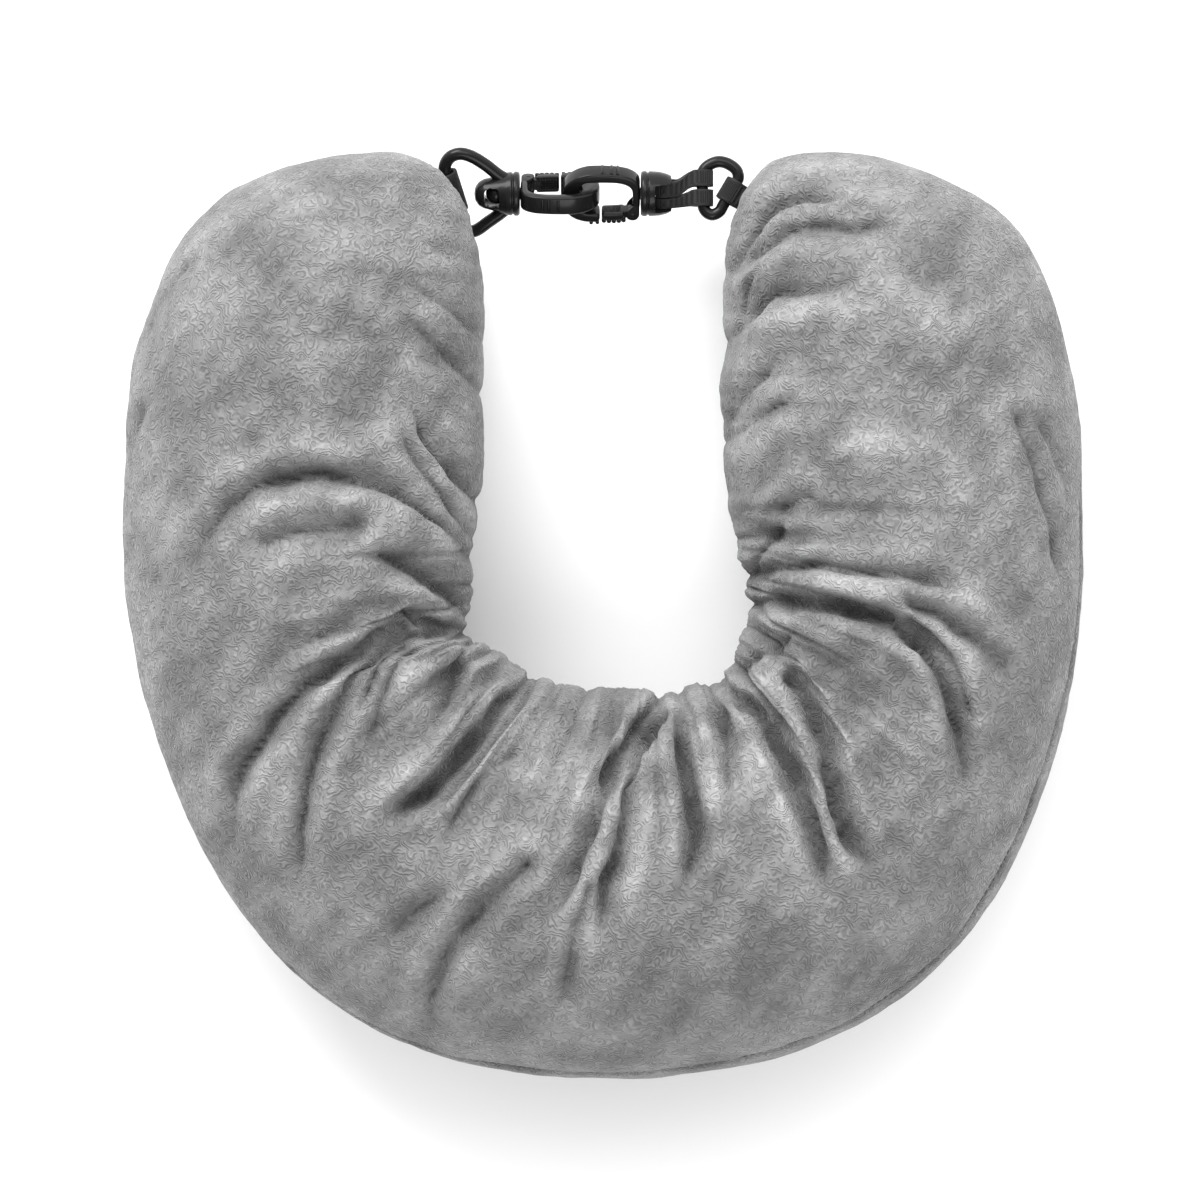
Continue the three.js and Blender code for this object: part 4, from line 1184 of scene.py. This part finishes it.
def finish(material, shader, **values):
    """Sets or links the shader's sockets."""
    for name, value in values.items():
        socket = shader.inputs[name.replace("_", " ")]
        if isinstance(value, bpy.types.NodeSocket):
            material.node_tree.links.new(value, socket)
        else:
            socket.default_value = value
    return material


def plush():
    """Short curled pile in cloudy, brushed greys, with painted shade in folds, a painted highlight on
    swellings, and curls that carry painted shade and highlight as well as their bump.
    """
    material, shader, add = new_material("grey_plush")
    where, grain = noise_maker(add)
    patches = grain(38, 4, Roughness=0.6)
    phase = maths(add, "MULTIPLY", way_along(add, where, (1.1, 2.3, 1.7)), 900.0)
    wavy = maths(add, "SINE", maths(add, "MULTIPLY_ADD", grain(190, 1), 44.0, phase))
    locks = maths(add, "MULTIPLY", wavy, remap(add, grain(420, 0), 0, 1, 0.31, 0.55))
    turn = (0, 0, math.radians(48))
    brushed = add("ShaderNodeMapping", {"Vector": where, "Rotation": turn, "Scale": (1, 0.3, 1)},
                  vector_type="TEXTURE").outputs["Vector"]
    streaks = maths(add, "MULTIPLY", grain(26, 3, vector=brushed), 0.4)
    tint = add("ShaderNodeValToRGB", {"Fac": maths(add, "MULTIPLY_ADD", patches, 0.6, streaks)})
    dark, light = tint.color_ramp.elements
    dark.position, light.position = 0.4, 0.6
    dark.color = (0.13, 0.13, 0.132, 1)
    light.color = (0.235, 0.235, 0.237, 1)
    # Painted shade from the "fold" value darkens folds, creases, the seam and gathers; painted
    # highlight from the "puff" value lightens swellings
    deep = remap(add, stored(add, "fold"), 1.0, 0.4)
    high = remap(add, stored(add, "puff"), 1.0, 1.45)
    folds = maths(add, "MULTIPLY", deep, high)
    # The curled pile lines are coloured darker and lighter: partly the pile's own pattern, partly
    # painted shade and painted highlight on their relief, which the bump also gives
    tone = maths(add, "MULTIPLY", folds, remap(add, locks, 0.77, 1.19, -1))
    colour = add("ShaderNodeVectorMath", {0: tint.outputs["Color"], "Scale": tone}, operation="SCALE")
    nap = maths(add, "MULTIPLY_ADD", grain(1500, 1), 0.5, locks)
    return finish(material, shader, Base_Color=colour.outputs["Vector"], Roughness=0.95,
                  Sheen_Weight=0.25, Sheen_Roughness=0.45, Specular_IOR_Level=0.15,
                  Normal=bump(add, nap, 0.65, 0.0005))


def thread():
    """Twisted grey thread."""
    material, shader, add = new_material("grey_thread")
    _, grain = noise_maker(add)
    tone = remap(add, grain(3000, 1), 0.05, 0.14)
    return finish(material, shader, Base_Color=grey(add, tone), Roughness=0.8)


def black_plastic():
    """Satin black plastic, rubbed a little, with a fine grid where a piece is marked for grip."""
    material, shader, add = new_material("satin_black_plastic")
    where, grain = noise_maker(add)
    rub = grain(120, 3)
    wave = 2 * math.pi / GRIP_PITCH
    side = Vector((0, -math.sin(LEFT_ROLL), math.cos(LEFT_ROLL))) * wave
    lengthwise = maths(add, "SINE", way_along(add, where, (wave, 0, 0)))
    sideways = maths(add, "SINE", way_along(add, where, side))
    pads = maths(add, "MULTIPLY", maths(add, "MAXIMUM", lengthwise, sideways), stored(add, "grip"))
    small = maths(add, "MULTIPLY_ADD", grain(900, 3), 0.15, pads)
    return finish(material, shader, Base_Color=grey(add, remap(add, rub, 0.005, 0.009)),
                  Roughness=remap(add, rub, 0.15, 0.27), Specular_IOR_Level=0.2,
                  Normal=bump(add, small, 0.8, 0.00015))


def webbing():
    """Ribbed webbing with smooth selvedges."""
    material, shader, add = new_material("black_webbing")
    _, grain = noise_maker(add)
    wave = maths(add, "SINE", maths(add, "MULTIPLY", stored(add, "run"), 2 * math.pi / RIB_PITCH))
    ribs = maths(add, "MULTIPLY", wave, remap(add, stored(add, "rim"), 1, 0, 0.7, 0.8))
    weave = maths(add, "MULTIPLY_ADD", grain(2500, 2), 0.8, ribs)
    tone = remap(add, weave, 0.004, 0.022, -1, 1.8)
    return finish(material, shader, Base_Color=grey(add, tone), Roughness=0.7, Specular_IOR_Level=0.35,
                  Normal=bump(add, weave, 0.9, 0.0002))


# Camera, floor and light

CAMERA_HIGH = 2.0
PIXEL = 0.418 * MM
PIXELS = 1200
ORIGIN_PIXEL = (603.5, 614)
FACE_LEVEL = 65 * MM

# Studio lights: name, place, aim, size in metres and power in watts
LIGHTS = [
    ("key", (-0.7, 1.5, 1.2), (0, 0, 0), 1.0, 33),
    ("top", (0.3, 1.2, 2.2), (0, 0, 0), 1.2, 14),
    ("fill", (0.4, -1.5, 1.9), (0, -0.2, 0), 1.4, 24),
]


def set_camera():
    """The camera looks straight down, and the frame's middle is where it is in the photo."""
    data = bpy.data.cameras.new("camera")
    camera = add_object("camera", data)
    x = (PIXELS / 2 - ORIGIN_PIXEL[0]) * PIXEL
    y = (ORIGIN_PIXEL[1] - PIXELS / 2) * PIXEL
    camera.location = (x, y, FACE_LEVEL + CAMERA_HIGH)
    data.sensor_width = 36
    data.lens = data.sensor_width * CAMERA_HIGH / (PIXELS * PIXEL)
    data.clip_start = 0.05
    data.clip_end = 50
    bpy.context.scene.camera = camera


def set_floor():
    bm = bmesh.new()
    bmesh.ops.create_grid(bm, x_segments=1, y_segments=1, size=8)
    floor = add_object("floor", finished_mesh(bm, "floor"))
    material, shader, _ = new_material("pale_floor")
    finish(material, shader, Base_Color=(0.93, 0.93, 0.935, 1), Roughness=0.9, Specular_IOR_Level=0.1)
    floor.data.materials.append(material)


def set_light():
    """A white studio that is brighter behind the arm ends, and three soft lights."""
    world = bpy.data.worlds.new("studio")
    world.use_nodes = True
    add = node_maker(world)
    where = add("ShaderNodeTexCoord").outputs["Generated"]
    inputs = {"Value": add("ShaderNodeSeparateXYZ", {"Vector": where}).outputs["Y"],
              "From Min": -0.1, "From Max": 0.75, "To Min": 0.6, "To Max": 1.9}
    bright = add("ShaderNodeMapRange", inputs, interpolation_type="SMOOTHSTEP")
    background = world.node_tree.nodes["Background"]
    background.inputs["Color"].default_value = (1, 1, 1, 1)
    world.node_tree.links.new(bright.outputs["Result"], background.inputs["Strength"])
    bpy.context.scene.world = world
    for name, place, aim, size, power_w in LIGHTS:
        data = bpy.data.lights.new(name, "AREA")
        data.shape = "SQUARE"
        data.size = size
        data.energy = power_w
        light = add_object(name, data)
        light.location = place
        light.rotation_euler = (Vector(aim) - Vector(place)).to_track_quat("-Z", "Y").to_euler()
    bpy.context.scene.view_settings.view_transform = "Standard"


set_camera()
set_floor()
set_light()
PLUSH = plush()
PLASTIC = black_plastic()
WEBBING = webbing()

pillow = make_pillow()
pillow.data.materials.clear()
pillow.data.materials.append(PLUSH)
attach(pillow, "root")
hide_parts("pillow")

stitches = make_stitches(pillow)
stitches.data.materials.append(thread())
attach(stitches, "root")

make_chain()
